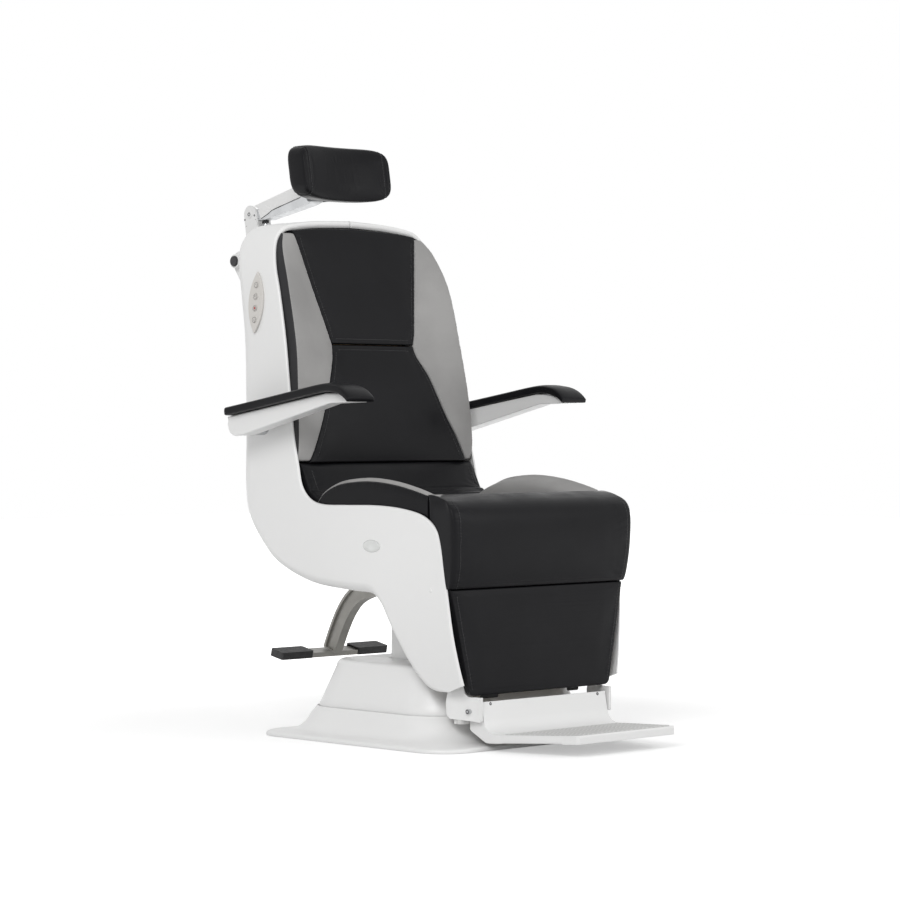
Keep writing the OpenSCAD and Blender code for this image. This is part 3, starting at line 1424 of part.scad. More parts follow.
// Blocks below the brackets that the footrest rests on
module bump_stops() {
    stop_from = 16;
    stop_d = 22;
    stop_drop = 28;
    inner_reach = 8;
    outer_reach = 24;
    ends = [hinge_y + stop_from, hinge_y + stop_from + stop_d];
    a = bracket[len(bracket) - 2];
    b = bracket[len(bracket) - 3];
    tops = [for (y = ends) mix(a.y, b.y, (y - a.x) / (b.x - a.x)) - seat_gap];
    low_z = hinge_z - stop_drop;
    color(stop_grey) for (side = [0, 1]) mirror([side, 0, 0])
        side_extrude(footrest_rear_half - inner_reach, footrest_rear_half + outer_reach)
            polygon([[ends[0], low_z], [ends[1], low_z], [ends[1], tops[1]], [ends[0], tops[0]]]);
}

// Keypad on the outer side of the backrest
keypad_y = 340;
keypad_z = 955;
keypad_h = 138;
keypad_w = 48;
keypad_t = 5;
key_r = 6.5;
key_proud = 1.2;
key_travel = 1;
key_seat = 1.5;
key_pitch = 26;
module on_keypad() {
    x = at_wall(keypad_z) + 2 * seat_gap;
    lean = atan((at_wall(keypad_z - keypad_h / 2) - at_wall(keypad_z + keypad_h / 2)) / keypad_h);
    translate([-x, keypad_y, keypad_z]) rotate([0, lean, 0]) rotate([0, 0, 180]) children();
}

module keypad_housing() {
    // Pointed oval: the overlap of two equal arcs
    arc_r = (keypad_h * keypad_h + keypad_w * keypad_w) / (4 * keypad_w);
    half_angle = asin(keypad_h / 2 / arc_r);
    steps = 12;
    arc = [for (k = [0 : steps - 1]) let (a = mix(-half_angle, half_angle, k / steps))
        [arc_r * cos(a) - arc_r + keypad_w / 2, arc_r * sin(a)]];
    color(keypad_grey) on_keypad() difference() {
        side_extrude(0, keypad_t) polygon(concat(arc, [for (p = arc) -p]));
        for (k = [-1.5 : 1.5]) x_cylinder(keypad_t - key_travel - key_seat, keypad_t + cut_over, 0,
            k * key_pitch, key_r + slide_gap);
    }
}

module key(slot) {
    on_keypad() x_cylinder(keypad_t - key_seat + run_gap, keypad_t + key_proud, 0,
        (1.5 - slot) * key_pitch, key_r);
}

module up_key() {
    color(white_paint) key(0);
}

module return_key() {
    color(white_paint) key(1);
}

module stop_key() {
    color(key_red) key(2);
}

module down_key() {
    color(white_paint) key(3);
}

floor_plate();
base_skirt();
base_cover();
column_fixed();
column_bolts();
lift_cylinder();
lift_motor();
power_unit();
power_inlet();
column_middle();
column_inner();
lift_ram();
slew_ring_fixed();
slew_ring_turning();
turntable();
tilt_drive();
pedal_bracket();
pedal_lever();
pedal_pads();
tilt_axle();
seat_rails();
back_uprights();
cross_tubes();
seat_pan();
backrest_board();
calf_board();
left_shell();
right_shell();
back_cover();
underside_cover();
headrest_housing();
seat_cushion();
front_roll();
left_bolster();
right_bolster();
lumbar_cushion();
backrest_centre();
left_wing();
right_wing();
calf_pad();
keypad_housing();
arm_hubs();
hinge_brackets();
hinge_pins();
bump_stops();
up_key();
return_key();
stop_key();
down_key();
left_arm();
left_arm_pad();
right_arm();
right_arm_pad();
headrest_mast();
headrest_arm();
headrest_arm_cover();
headrest_pad();
height_button();
footrest();
footrest_mat();
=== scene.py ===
"""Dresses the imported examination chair: mouldings, upholstery, metalwork, and a plain studio. Metres, +Z up."""
import json

import bmesh
import bpy
import numpy as np
from mathutils import Euler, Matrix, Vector


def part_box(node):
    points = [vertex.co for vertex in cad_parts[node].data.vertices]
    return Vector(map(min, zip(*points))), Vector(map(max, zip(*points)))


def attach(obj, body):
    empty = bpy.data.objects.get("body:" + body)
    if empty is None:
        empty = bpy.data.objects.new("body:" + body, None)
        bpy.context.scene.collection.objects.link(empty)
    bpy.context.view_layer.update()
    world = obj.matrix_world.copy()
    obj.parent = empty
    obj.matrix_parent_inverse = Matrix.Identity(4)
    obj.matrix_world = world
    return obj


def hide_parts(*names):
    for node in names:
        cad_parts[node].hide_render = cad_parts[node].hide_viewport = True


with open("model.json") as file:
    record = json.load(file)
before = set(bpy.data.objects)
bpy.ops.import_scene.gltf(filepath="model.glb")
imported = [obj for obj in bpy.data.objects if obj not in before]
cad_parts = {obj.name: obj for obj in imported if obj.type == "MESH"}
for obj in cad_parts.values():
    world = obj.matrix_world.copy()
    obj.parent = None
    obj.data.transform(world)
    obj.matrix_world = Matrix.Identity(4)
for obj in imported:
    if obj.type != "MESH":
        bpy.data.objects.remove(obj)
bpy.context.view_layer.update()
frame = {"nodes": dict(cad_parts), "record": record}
nodes = frame["nodes"]
body_of = {node: body for body, members in frame["record"]["behaviour"]["bodies"].items() for node in members}

# ---------------------------------------------------------------- base covers
# Two vacuum-formed white covers hide the drive: a flared skirt on the floor and a cap with rounded top edges.
# They meet in a shadow seam and are clipped to the column's foot.


def mesh_piece(name, points, faces, body, material, smooth=True):
    """Piece from points and faces: merged, normals outwards, riding on a body and given a material."""
    mesh = bpy.data.meshes.new(name)
    mesh.from_pydata(points.tolist(), [], faces)
    bm = bmesh.new()
    bm.from_mesh(mesh)
    bmesh.ops.remove_doubles(bm, verts=bm.verts, dist=1e-6)
    bmesh.ops.recalc_face_normals(bm, faces=bm.faces)
    bm.to_mesh(mesh)
    bm.free()
    mesh.polygons.foreach_set("use_smooth", np.full(len(mesh.polygons), smooth))
    mesh.materials.append(material)
    piece = bpy.data.objects.new(name, mesh)
    bpy.context.scene.collection.objects.link(piece)
    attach(piece, body)
    return piece


def surface(name, grid, body, material, round_u=False, round_v=True, zip_ends=False):
    """Mesh through a grid of points: quads join each point to its neighbours along u (rows) and v (columns).
    round_u or round_v also joins the last row or column to the first; zip_ends closes the first and last row
    by quads from each point to its mirror on the same row."""
    rows, cols = grid.shape[:2]
    index = np.arange(rows * cols).reshape(rows, cols)
    if round_u:
        index = np.vstack([index, index[:1]])
    if round_v:
        index = np.hstack([index, index[:, :1]])
    quads = np.stack([index[:-1, :-1], index[:-1, 1:], index[1:, 1:], index[1:, :-1]], -1).reshape(-1, 4)
    if zip_ends:
        near = np.arange(cols // 2 - 1)
        ring = np.stack([near, cols - 1 - near, cols - 2 - near, near + 1], -1)
        quads = np.vstack([quads, ring, (ring + (rows - 1) * cols)[:, ::-1]])
    return mesh_piece(name, grid.reshape(-1, 3), quads.tolist(), body, material)


def finish_material(name, colour, roughness, metallic=0.0, **sockets):
    """Principled material whose other uniform sockets are set directly; returns it with its nodes and shader."""
    material = bpy.data.materials.new(name)
    material.use_nodes = True
    tree = material.node_tree
    shader = tree.nodes["Principled BSDF"]
    shader.inputs["Base Color"].default_value = (*colour, 1)
    shader.inputs["Roughness"].default_value = roughness
    shader.inputs["Metallic"].default_value = metallic
    for socket, value in sockets.items():
        shader.inputs[socket.replace("_", " ")].default_value = value
    place = tree.nodes.new("ShaderNodeTexCoord")
    return material, tree, shader, place


def noise(tree, place, scale, detail=3.0, stretch=(1, 1, 1)):
    """Noise texture on Object coordinates, stretched per axis."""
    turn = tree.nodes.new("ShaderNodeMapping")
    turn.inputs["Scale"].default_value = stretch
    tree.links.new(place.outputs["Object"], turn.inputs["Vector"])
    pattern = tree.nodes.new("ShaderNodeTexNoise")
    pattern.inputs["Scale"].default_value = scale
    pattern.inputs["Detail"].default_value = detail
    tree.links.new(turn.outputs["Vector"], pattern.inputs["Vector"])
    return pattern.outputs["Fac"]


def vary(tree, shader, socket, factor, low, high, start=0.3, stop=0.7):
    """Lets a socket wander between two values (numbers or colours) as a factor goes from start to stop."""
    ramp = tree.nodes.new("ShaderNodeValToRGB")
    ramp.color_ramp.elements[0].position = start
    ramp.color_ramp.elements[1].position = stop
    colours = [(*v, 1) if np.ndim(v) else (v, v, v, 1) for v in (low, high)]
    for element, colour in zip(ramp.color_ramp.elements, colours):
        element.color = colour
    tree.links.new(factor, ramp.inputs["Fac"])
    tree.links.new(ramp.outputs["Color"], shader.inputs[socket])


def step_of(tree, operation, a, b=0.0, clamp=False):
    """Maths node on two values, each a number or another node's output."""
    node = tree.nodes.new("ShaderNodeMath")
    node.operation, node.use_clamp = operation, clamp
    for k, value in enumerate((a, b)):
        if isinstance(value, float):
            node.inputs[k].default_value = value
        else:
            tree.links.new(value, node.inputs[k])
    return node.outputs[0]


def emboss(tree, shader, heights, strength, distance):
    """Bump from one height, or from several added up."""
    total = heights[0]
    for height in heights[1:]:
        total = step_of(tree, "ADD", total, height)
    bump = tree.nodes.new("ShaderNodeBump")
    bump.inputs["Strength"].default_value = strength
    bump.inputs["Distance"].default_value = distance
    tree.links.new(total, bump.inputs["Height"])
    tree.links.new(bump.outputs["Normal"], shader.inputs["Normal"])


def white_finish(name, colour, roughness):
    """Satin white: a slow drift of tone, uneven gloss and a fine orange peel."""
    material, tree, shader, place = finish_material(name, colour, roughness, Coat_Weight=0.15, Coat_Roughness=0.25)
    slow = noise(tree, place, 3.0, 4.0)
    fine = noise(tree, place, 60.0, 3.0)
    vary(tree, shader, "Base Color", slow, [c * 0.975 for c in colour], colour)
    vary(tree, shader, "Roughness", fine, roughness - 0.05, roughness + 0.06)
    emboss(tree, shader, [noise(tree, place, 420.0, 2.0)], 0.05, 0.0004)
    return material


white_plastic = white_finish("white_plastic", (0.83, 0.83, 0.825), 0.36)

floor_z = 0.0
flange = dict(half=0.315, front=0.312, back=0.296, radius=0.078, edge=0.007)
seam = dict(half=0.246, front=0.222, back=0.222, radius=0.105, z=0.067)
cap_top = dict(half=0.212, front=0.190, back=0.190, radius=0.098, z=0.168)
cover_wall = 0.004


def round_rect_ring(half, front, back, radius, z, per_corner=24, per_side=10):
    """Points round a rounded rectangle: a quarter circle at each corner and straight sides between,
    for arrays of levels (half, front, back, radius, z). Result is (points round, levels, 3)."""
    half, front, back, radius, z = np.broadcast_arrays(half, front, back, radius, z)
    corners = [(1, 1), (-1, 1), (-1, -1), (1, -1)]
    arcs = []
    for k, (sx, sy) in enumerate(corners):
        a = np.radians(90 * k + np.linspace(0, 90, per_corner))[:, None]
        depth = back if sy > 0 else front
        arcs.append(np.stack([sx * (half - radius) + radius * np.cos(a), sy * (depth - radius) + radius * np.sin(a),
                              np.broadcast_to(z, (per_corner, len(z)))], -1))
    ring = []
    for k in range(4):
        ring.append(arcs[k])
        t = np.linspace(0, 1, per_side + 2)[1:-1, None, None]
        ring.append(arcs[k][-1][None] * (1 - t) + arcs[(k + 1) % 4][0][None] * t)
    return np.concatenate(ring)


def between(low, high, share):
    """Every size of a ring a share of the way from low to high: low + (high - low) share."""
    return {key: low[key] + (high[key] - low[key]) * share for key in ("half", "front", "back", "radius")}


def smooth_line(points, per_span):
    """Catmull-Rom curve through points, per_span samples from each to the next."""
    return spline(points, np.linspace(0, len(points) - 1, (len(points) - 1) * per_span + 1))


def spline(knots, u):
    """Catmull-Rom: 0.5 (2b + (c - a) t + (2a - 5b + 4c - d) t^2 + (3b - a - 3c + d) t^3), ends held."""
    knots = np.asarray(knots, float)
    flat = knots.ndim == 1
    if flat:
        knots = knots[:, None]
    last = len(knots) - 1
    i = np.clip(np.floor(u).astype(int), 0, last - 1)
    t = (u - i)[:, None]
    a, b, c, d = knots[np.maximum(i - 1, 0)], knots[i], knots[i + 1], knots[np.minimum(i + 2, last)]
    value = 0.5 * (2 * b + (c - a) * t + (2 * a - 5 * b + 4 * c - d) * t**2 + (3 * b - a - 3 * c + d) * t**3)
    return value[:, 0] if flat else value


# Skirt profile: share of the way in from the flange, height, inset of the wall
flare = np.array([[0, 0.0], [0, 0.002], [0, 0.0045], [0.004, 0.0062], [0.012, 0.0072], [0.06, 0.0094], [0.17, 0.0104],
                  [0.28, 0.0115], [0.42, 0.0128], [0.52, 0.0142], [0.6, 0.017], [0.68, 0.0215], [0.77, 0.0305],
                  [0.83, 0.039], [0.89, 0.0505], [0.95, 0.0585], [0.99, 0.0645], [0.997, 0.0662], [1.02, 0.0667]])
inside = np.array([[1.02, 0.0627], [0.97, 0.056], [0.80, 0.028], [0.60, 0.010], [0.30, 0.007], [0.06, 0.003],
                   [0.05, 0.0]])
profile = np.vstack([flare, inside])
level = between(flange, seam, profile[:, 0])
skirt_grid = round_rect_ring(level["half"], level["front"], level["back"], level["radius"], floor_z + profile[:, 1])
skirt = surface("base_skirt_piece", skirt_grid, "base", white_plastic, round_u=True)
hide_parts("base_skirt")

# Cap: a 5 mm step inside the seam, tapered sides, a 14 mm roll into the flat top, and the column's opening
step_in, top_roll, opening = 0.005, 0.014, 0.0978
share = np.concatenate([[0, 0, 0.25, 0.5, 0.75], np.full(9, 1.0)])
turn = np.radians(np.linspace(0, 90, 9))
height = np.concatenate([[seam["z"] - 0.006, seam["z"] + 0.001],
                         seam["z"] + (cap_top["z"] - top_roll - seam["z"]) * np.array([0.25, 0.5, 0.75]),
                         cap_top["z"] - top_roll + top_roll * np.sin(turn)])
inset = np.concatenate([[0.0012, 0, 0, 0, 0], top_roll * (1 - np.cos(turn))])
lower = {key: seam[key] - step_in for key in ("half", "front", "back", "radius")}
level = between(lower, cap_top, share)
outer = {key: level[key] - inset for key in level}
hole_r = 0.0218  # corner radius of the opening
for key in outer:
    rim = hole_r if key == "radius" else opening
    inner_wall = np.array([cap_top[key] - top_roll * 1.2, level[key][0] - cover_wall])
    outer[key] = np.concatenate([outer[key], [rim + 0.003, rim, rim], inner_wall])
height = np.concatenate([height, [cap_top["z"], cap_top["z"] - 0.001, cap_top["z"] - cover_wall],
                         [cap_top["z"] - cover_wall, seam["z"] - 0.006]])
cap_grid = round_rect_ring(outer["half"], outer["front"], outer["back"], outer["radius"], floor_z + height)
cap = surface("base_cap_piece", cap_grid, "base", white_plastic, round_u=True)
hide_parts("base_cover")

# ---------------------------------------------------------------- drive inside the base
# Steel floor plate, lift spindle, motor and power unit, all painted or cast, with the mains inlet at the rear.
# None of it shows in use, but each piece keeps its own finish.


def dull_metal(name, colour, roughness, metallic):
    """Cast or painted metal: blotchy gloss and a fine pitted surface."""
    material, tree, shader, place = finish_material(name, colour, roughness, metallic)
    vary(tree, shader, "Base Color", noise(tree, place, 25.0, 5.0), [c * 0.88 for c in colour], colour)
    vary(tree, shader, "Roughness", noise(tree, place, 90.0), roughness - 0.08, roughness + 0.1)
    emboss(tree, shader, [noise(tree, place, 700.0, 2.0)], 0.15, 0.0003)
    return material


def bright_metal(name, colour, roughness, grain):
    """Machined or drawn metal: long scratches along one axis, set by the stretch of the grain."""
    material, tree, shader, place = finish_material(name, colour, roughness, 1.0)
    line = noise(tree, place, 260.0, 4.0, grain)
    vary(tree, shader, "Base Color", line, [c * 0.85 for c in colour], colour)
    vary(tree, shader, "Roughness", line, roughness - 0.08, roughness + 0.12)
    emboss(tree, shader, [line], 0.08, 0.0002)
    return material


def moulded(name, colour, roughness, gloss=None, grain=None, **sockets):
    """Plain moulding whose roughness wanders by gloss = (scale, low, high), with a skin of grain = (scale, detail,
    strength, depth)."""
    material, tree, shader, place = finish_material(name, colour, roughness, **sockets)
    if gloss:
        vary(tree, shader, "Roughness", noise(tree, place, gloss[0]), *gloss[1:])
    if grain:
        emboss(tree, shader, [noise(tree, place, *grain[:2])], *grain[2:])
    return material


painted_steel = dull_metal("painted_steel", (0.17, 0.175, 0.185), 0.5, 0.3)
cast_alloy = dull_metal("cast_alloy", (0.62, 0.63, 0.64), 0.42, 0.9)
drawn_steel = bright_metal("drawn_steel", (0.60, 0.61, 0.62), 0.30, (1, 1, 0.03))
turned_steel = bright_metal("turned_steel", (0.58, 0.59, 0.60), 0.28, (0.05, 1, 1))
board_wood, tree, shader, place = finish_material("board_wood", (0.45, 0.33, 0.20), 0.7)
grain_lines = noise(tree, place, 30.0, 6.0, (0.15, 1, 1))
vary(tree, shader, "Base Color", grain_lines, (0.33, 0.23, 0.13), (0.52, 0.40, 0.26))
emboss(tree, shader, [grain_lines], 0.2, 0.0005)
black_plastic = moulded("black_plastic", (0.018, 0.018, 0.02), 0.5, (120.0, 0.42, 0.6), (900.0, 2.0, 0.2, 0.0002))


def dress(material, names):
    """Gives CAD nodes that keep their own mesh a procedural material."""
    for name in names.split():
        mesh = nodes[name].data
        mesh.materials.clear()
        mesh.materials.append(material)


dress(painted_steel, "floor_plate column_fixed lift_cylinder turntable pedal_bracket seat_rails back_uprights "
                     "cross_tubes slew_ring_fixed")
dress(cast_alloy, "lift_motor tilt_drive")
dress(drawn_steel, "column_middle lift_ram slew_ring_turning column_bolts")
dress(turned_steel, "tilt_axle arm_hubs hinge_pins")
dress(board_wood, "seat_pan backrest_board calf_board")
dress(black_plastic, "power_unit power_inlet")

# ---------------------------------------------------------------- lift column
# Square white lift tube, powder coated, with a smooth satin skin. It slides in the cap's opening.

white_coat = white_finish("white_coat", (0.82, 0.82, 0.815), 0.33)


def soften(node, radius, material, segments=3, angle=32):
    """Copy of a CAD node, merged and cleaned, whose edges get a small live bevel of the given radius."""
    source = nodes[node]
    mesh = source.data.copy()
    mesh.materials.clear()
    bm = bmesh.new()
    bm.from_mesh(mesh)
    bmesh.ops.remove_doubles(bm, verts=bm.verts, dist=2e-6)
    bmesh.ops.dissolve_limit(bm, angle_limit=np.radians(1.0), verts=bm.verts, edges=bm.edges)
    bm.to_mesh(mesh)
    bm.free()
    mesh.polygons.foreach_set("use_smooth", np.ones(len(mesh.polygons), bool))
    mesh.materials.append(material)
    piece = bpy.data.objects.new(node + "_piece", mesh)
    bpy.context.scene.collection.objects.link(piece)
    bevel = piece.modifiers.new("edge", "BEVEL")
    bevel.width, bevel.segments, bevel.limit_method, bevel.angle_limit = radius, segments, "ANGLE", np.radians(angle)
    level = piece.modifiers.new("even", "WEIGHTED_NORMAL")
    level.keep_sharp = True
    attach(piece, body_of[node])
    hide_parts(node)
    return piece


soften("column_inner", 0.0015, white_coat)

# ---------------------------------------------------------------- brake pedal
# Warm grey cast arm with a channel in each side, ending in a foot bar whose two ends carry black rubber pads.


def points_of(mesh, kind="co"):
    """Places or normals of a mesh's vertices, one row each."""
    values = np.empty(len(mesh.vertices) * 3, np.float32)
    if kind == "co":
        mesh.vertices.foreach_get("co", values)
    else:
        mesh.vertex_normals.foreach_get("vector", values)
    return values.reshape(-1, 3).astype(float)


pedal_alloy = dull_metal("pedal_alloy", (0.36, 0.35, 0.325), 0.42, 0.35)
rubber, tree, shader, place = finish_material("rubber", (0.012, 0.012, 0.013), 0.6)
vary(tree, shader, "Base Color", noise(tree, place, 40.0), (0.010, 0.010, 0.011), (0.020, 0.020, 0.021))
vary(tree, shader, "Roughness", noise(tree, place, 150.0), 0.5, 0.7)
emboss(tree, shader, [noise(tree, place, 800.0, 2.0)], 0.3, 0.0003)
soften("pedal_lever", 0.0025, pedal_alloy)
foot_pads = soften("pedal_pads", 0.002, rubber)
# The pads stand proud of the bar, and their inner ends, those nearer the middle, stop short
pad_rise, inner_end, pad_short = 0.003, 0.12, 0.012
corners = points_of(foot_pads.data)
corners[:, 2] += pad_rise
corners[:, 0] += np.where(np.abs(corners[:, 0]) < inner_end, pad_short * np.sign(corners[:, 0]), 0)
foot_pads.data.vertices.foreach_set("co", corners.ravel())
foot_pads.data.update()

# ---------------------------------------------------------------- side shells
# Two mirrored white mouldings form the monocoque: a rim over the shoulders, the rounded back, the seat sides
# and the calf sides in one sweep. Each is a 4 mm wall with a turned front lip and a rolled rear edge.

shell_half, shell_depth, shell_height, shell_front, shell_low = 0.275, 0.727, 1.028, 0.293, 0.119


def place_shares(shares):
    """Shares of the shell's half width, depth and height, turned into points."""
    return np.array(shares) * [shell_half, shell_depth, shell_height] + [0, -shell_front, shell_low]


front_edge = place_shares([
    [0, 0.840, 1.000], [0.364, 0.839, 0.996], [0.600, 0.836, 0.989], [0.735, 0.835, 0.980],
    [0.822, 0.832, 0.960], [0.876, 0.821, 0.930], [0.920, 0.799, 0.886], [0.942, 0.772, 0.833],
    [0.964, 0.737, 0.735], [0.985, 0.707, 0.621], [0.996, 0.686, 0.531], [1.000, 0.663, 0.464],
    [1.000, 0.646, 0.419], [1.000, 0.609, 0.392], [1.000, 0.552, 0.381], [1.000, 0.444, 0.381],
    [1.000, 0.320, 0.382], [1.000, 0.210, 0.377], [1.000, 0.121, 0.364], [0.996, 0.069, 0.339],
    [0.993, 0.048, 0.307], [0.985, 0.036, 0.259], [0.978, 0.026, 0.200], [0.949, 0.017, 0.123],
    [0.909, 0.007, 0.059], [0.873, 0.000, 0.018]])
rear_edge = place_shares([
    [0, 0.988, 1.000], [0.364, 0.989, 0.996], [0.600, 0.992, 0.989], [0.735, 0.996, 0.980],
    [0.822, 1.000, 0.960], [0.876, 1.000, 0.930], [0.920, 0.990, 0.886], [0.942, 0.978, 0.833],
    [0.964, 0.959, 0.735], [0.985, 0.945, 0.621], [0.996, 0.939, 0.517], [1.000, 0.938, 0.414],
    [1.000, 0.917, 0.347], [1.000, 0.846, 0.288], [0.996, 0.763, 0.247], [0.989, 0.623, 0.212],
    [0.985, 0.458, 0.200], [0.982, 0.365, 0.196], [0.975, 0.320, 0.176], [0.956, 0.287, 0.135],
    [0.938, 0.257, 0.098], [0.916, 0.224, 0.061], [0.895, 0.191, 0.030], [0.876, 0.155, 0.009],
    [0.865, 0.120, 0.000], [0.865, 0.073, 0.000]])
corner_r, shell_wall, lip_r = 0.045, 0.004, 0.005
front_lips = np.array([0.0155, 0.0155, 0.015, 0.0115, 0.008] + [0.006] * 21)
roll_radii = corner_r * np.array([0.4, 0.4, 0.4, 0.4, 0.4, 0.4, 0.6, 0.8, 1, 1, 1, 1, 0.95, 0.8, 0.6, 0.6, 0.6, 0.6,
                                  0.5, 0.45, 0.45, 0.45, 0.45, 0.35, 0.35, 0.33])
lip_widths = corner_r * np.array([0.2, 0.2, 0.2, 0.2, 0.2, 0.2, 0.4, 0.7, 0.9, 0.9, 0.9, 0.9, 0.8, 0.6, 0.5, 0.5, 0.4,
                                  0.3, 0.15, 0.1, 0.1, 0.1, 0.05, 0.02, 0.02, 0.02])


def unit(v):
    """v / |v|, row by row."""
    return v / np.linalg.norm(v, axis=-1, keepdims=True)


def shell_frames(u):
    """At each u: the front edge, the direction across the wall to the rear edge, the outward normal, the width."""
    near, far = spline(front_edge, u), spline(rear_edge, u)
    low, high = np.maximum(u - 0.02, 0), np.minimum(u + 0.02, len(front_edge) - 1)
    travel = spline(front_edge, high) + spline(rear_edge, high) - spline(front_edge, low) - spline(rear_edge, low)
    along = unit(far - near)
    outward = unit(np.cross(travel, along))
    return near, along, outward, np.linalg.norm(far - near, axis=1)


def shell_grid(stations):
    """Section at each u, as (distance across, height out): front lip, small corner, flat flank, rolled rear edge of
    radius roll, rear lip; then the same path again one wall thickness inside."""
    u = np.linspace(0, len(front_edge) - 1, stations)
    near, along, outward, span = shell_frames(u)
    roll, lip = spline(roll_radii, u), spline(lip_widths, u)
    front_lip = spline(front_lips, u)[:, None]
    quarter = np.radians(np.linspace(0, 90, 9))
    arc = np.radians(np.linspace(0, 90, 17))
    flank = np.linspace(0, 1, 26)[1:-1]
    one = np.ones(stations)[:, None]

    def path(wall):
        """The section's path, a wall further in: its distances across and its heights out."""
        front = max(lip_r - wall, 0.001)
        across = [one * wall, one * (wall + front * (1 - np.cos(quarter)))]
        out = [one * -front_lip, one * (-wall - front * (1 - np.sin(quarter)))]
        start, stop = wall + front, (span - roll)[:, None]
        across += [start + (stop - start) * flank, stop + (roll - wall)[:, None] * np.sin(arc)]
        out += [one * (flank * 0 - wall), (roll - wall)[:, None] * np.cos(arc) - roll[:, None]]
        edge = np.array([0.5, 0.9, 1.0])
        across.append((span - wall)[:, None] * one * (edge * 0 + 1))
        out.append(-roll[:, None] - lip[:, None] * edge)
        return np.concatenate(across, 1), np.concatenate(out, 1)

    outer_a, outer_h = path(0.0)
    inner_a, inner_h = path(shell_wall)
    across = np.concatenate([outer_a, inner_a[:, ::-1]], 1)
    out = np.concatenate([outer_h, inner_h[:, ::-1]], 1)
    return near[:, None] + along[:, None] * across[..., None] + outward[:, None] * out[..., None]


wall_points = shell_grid(26 * 9)
# The first section stands upright on the middle plane, where the two halves meet
wall_points[0, :, 0] = 0.0002
hands = ((-1, "left"), (1, "right"))
for side, hand in hands:
    shell = surface(hand + "_shell_piece", wall_points * [side, 1, 1], "seat", white_plastic,
                    zip_ends=True)
    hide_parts(hand + "_shell")

# ---------------------------------------------------------------- badge plate and screw cap
# A plain oval plate without any lettering, let into the left side shell, and a small cap over a fixing screw.
# Both follow the shell's surface.

outer_points = wall_points[:, :60].reshape(-1, 3)


def ring_angles(count):
    """Angles of count points evenly round, the first half a step in."""
    return 2 * np.pi * (np.arange(count) + 0.5) / count


def on_shell(y, z):
    """Half width of the shell's outer skin at y and z: mean of the nearest skin points, weighted by 1 / distance."""
    y, z = np.atleast_1d(y), np.atleast_1d(z)
    away = np.hypot(outer_points[None, :, 1] - y[:, None], outer_points[None, :, 2] - z[:, None]) + 1e-5
    nearest = np.argsort(away, axis=1)[:, :6]
    weight = 1 / np.take_along_axis(away, nearest, 1)
    return (outer_points[nearest, 0] * weight).sum(1) / weight.sum(1)


def disc_on_shell(name, y, z, half_y, half_z, levels, material):
    """Oval plate on the left shell: rings of shares (size, height out) round its middle, laid on the skin."""
    a = ring_angles(48)
    rings = []
    for size, rise in levels:
        ring_y, ring_z = y + half_y * size * np.cos(a), z + half_z * size * np.sin(a)
        rings.append(np.stack([-on_shell(ring_y, ring_z) - rise, ring_y, ring_z], -1))
    return surface(name, np.stack(rings), "seat", material, zip_ends=True)


badge_lacquer, tree, shader, place = finish_material("badge_lacquer", (0.60, 0.61, 0.60), 0.22, 0.25, Coat_Weight=0.5)
vary(tree, shader, "Base Color", noise(tree, place, 50.0, 4.0), (0.55, 0.56, 0.55), (0.64, 0.65, 0.64))
badge_levels = [(0.9, -0.002), (1.0, -0.002), (1.0, 0.0006), (0.985, 0.0011), (0.95, 0.0013), (0.90, 0.0013),
                (0.87, 0.0009), (0.84, 0.0008), (0.55, 0.0010), (0.2, 0.0011), (0.02, 0.0011)]
disc_on_shell("oval_plate", -0.049, 0.4246, 0.027, 0.0132, badge_levels, badge_lacquer)
cap_levels = [(0.9, -0.003), (1.0, -0.003), (1.0, 0.0002), (0.93, 0.0006), (0.6, 0.0009), (0.3, 0.001), (0.02, 0.001)]
disc_on_shell("screw_cap", -0.224, 0.336, 0.0042, 0.0042, cap_levels, white_plastic)

# ---------------------------------------------------------------- rear and underside covers
# The rear cover closes the back between the two shells and bulges a little. The underside covers and the headrest's
# housing are white mouldings too, screwed on from inside.

opening_edge = np.vstack([place_shares([[0.50, 0.988, 0.9645], [0.68, 0.994, 0.956], [0.75, 0.998, 0.941]]),
                          rear_edge[6:14] - np.outer((roll_radii + lip_widths)[6:14], [1, 0, 0])])
crown_heights = 0.026 * np.array([0.1, 0.3, 0.5, 1, 1, 1, 1, 1, 1, 0.8, 0.4])
last = len(opening_edge) - 1
u = np.linspace(0, last, 101)
edge = spline(opening_edge, u)
crown = spline(crown_heights, u)[:, None]
ahead = spline(opening_edge, np.minimum(u + 0.05, last)) - spline(opening_edge, np.maximum(u - 0.05, 0))
lift_dir = unit(np.stack([0 * u, -ahead[:, 2], ahead[:, 1]], -1))
# Bulge crown (1 - t^2) across, its edge dropping 3.5 mm into a shadow gap, and a rim that lies under the shells
t = np.linspace(-1, 1, 61)
skin = edge[:, :1] - 0.002
shoulder = 0.0035 * np.clip((1 - np.abs(t)) * edge[:, :1] / 0.006, 0, 1) ** 0.5
face_x, face_h = skin * t, crown * (1 - t**2) + shoulder - 0.0035
rim_x, rim_h = edge[:, :1] + 0.010, 0 * edge[:, :1] - 0.0043
back_x = np.concatenate([-rim_x, face_x, rim_x, rim_x, face_x[:, ::-1], -rim_x], 1)
back_h = np.concatenate([rim_h, face_h, rim_h, rim_h - 0.004, face_h[:, ::-1] - 0.004, rim_h - 0.004], 1)
back_grid = np.stack([back_x, edge[:, 1:2] + lift_dir[:, 1:2] * back_h, edge[:, 2:3] + lift_dir[:, 2:3] * back_h], -1)
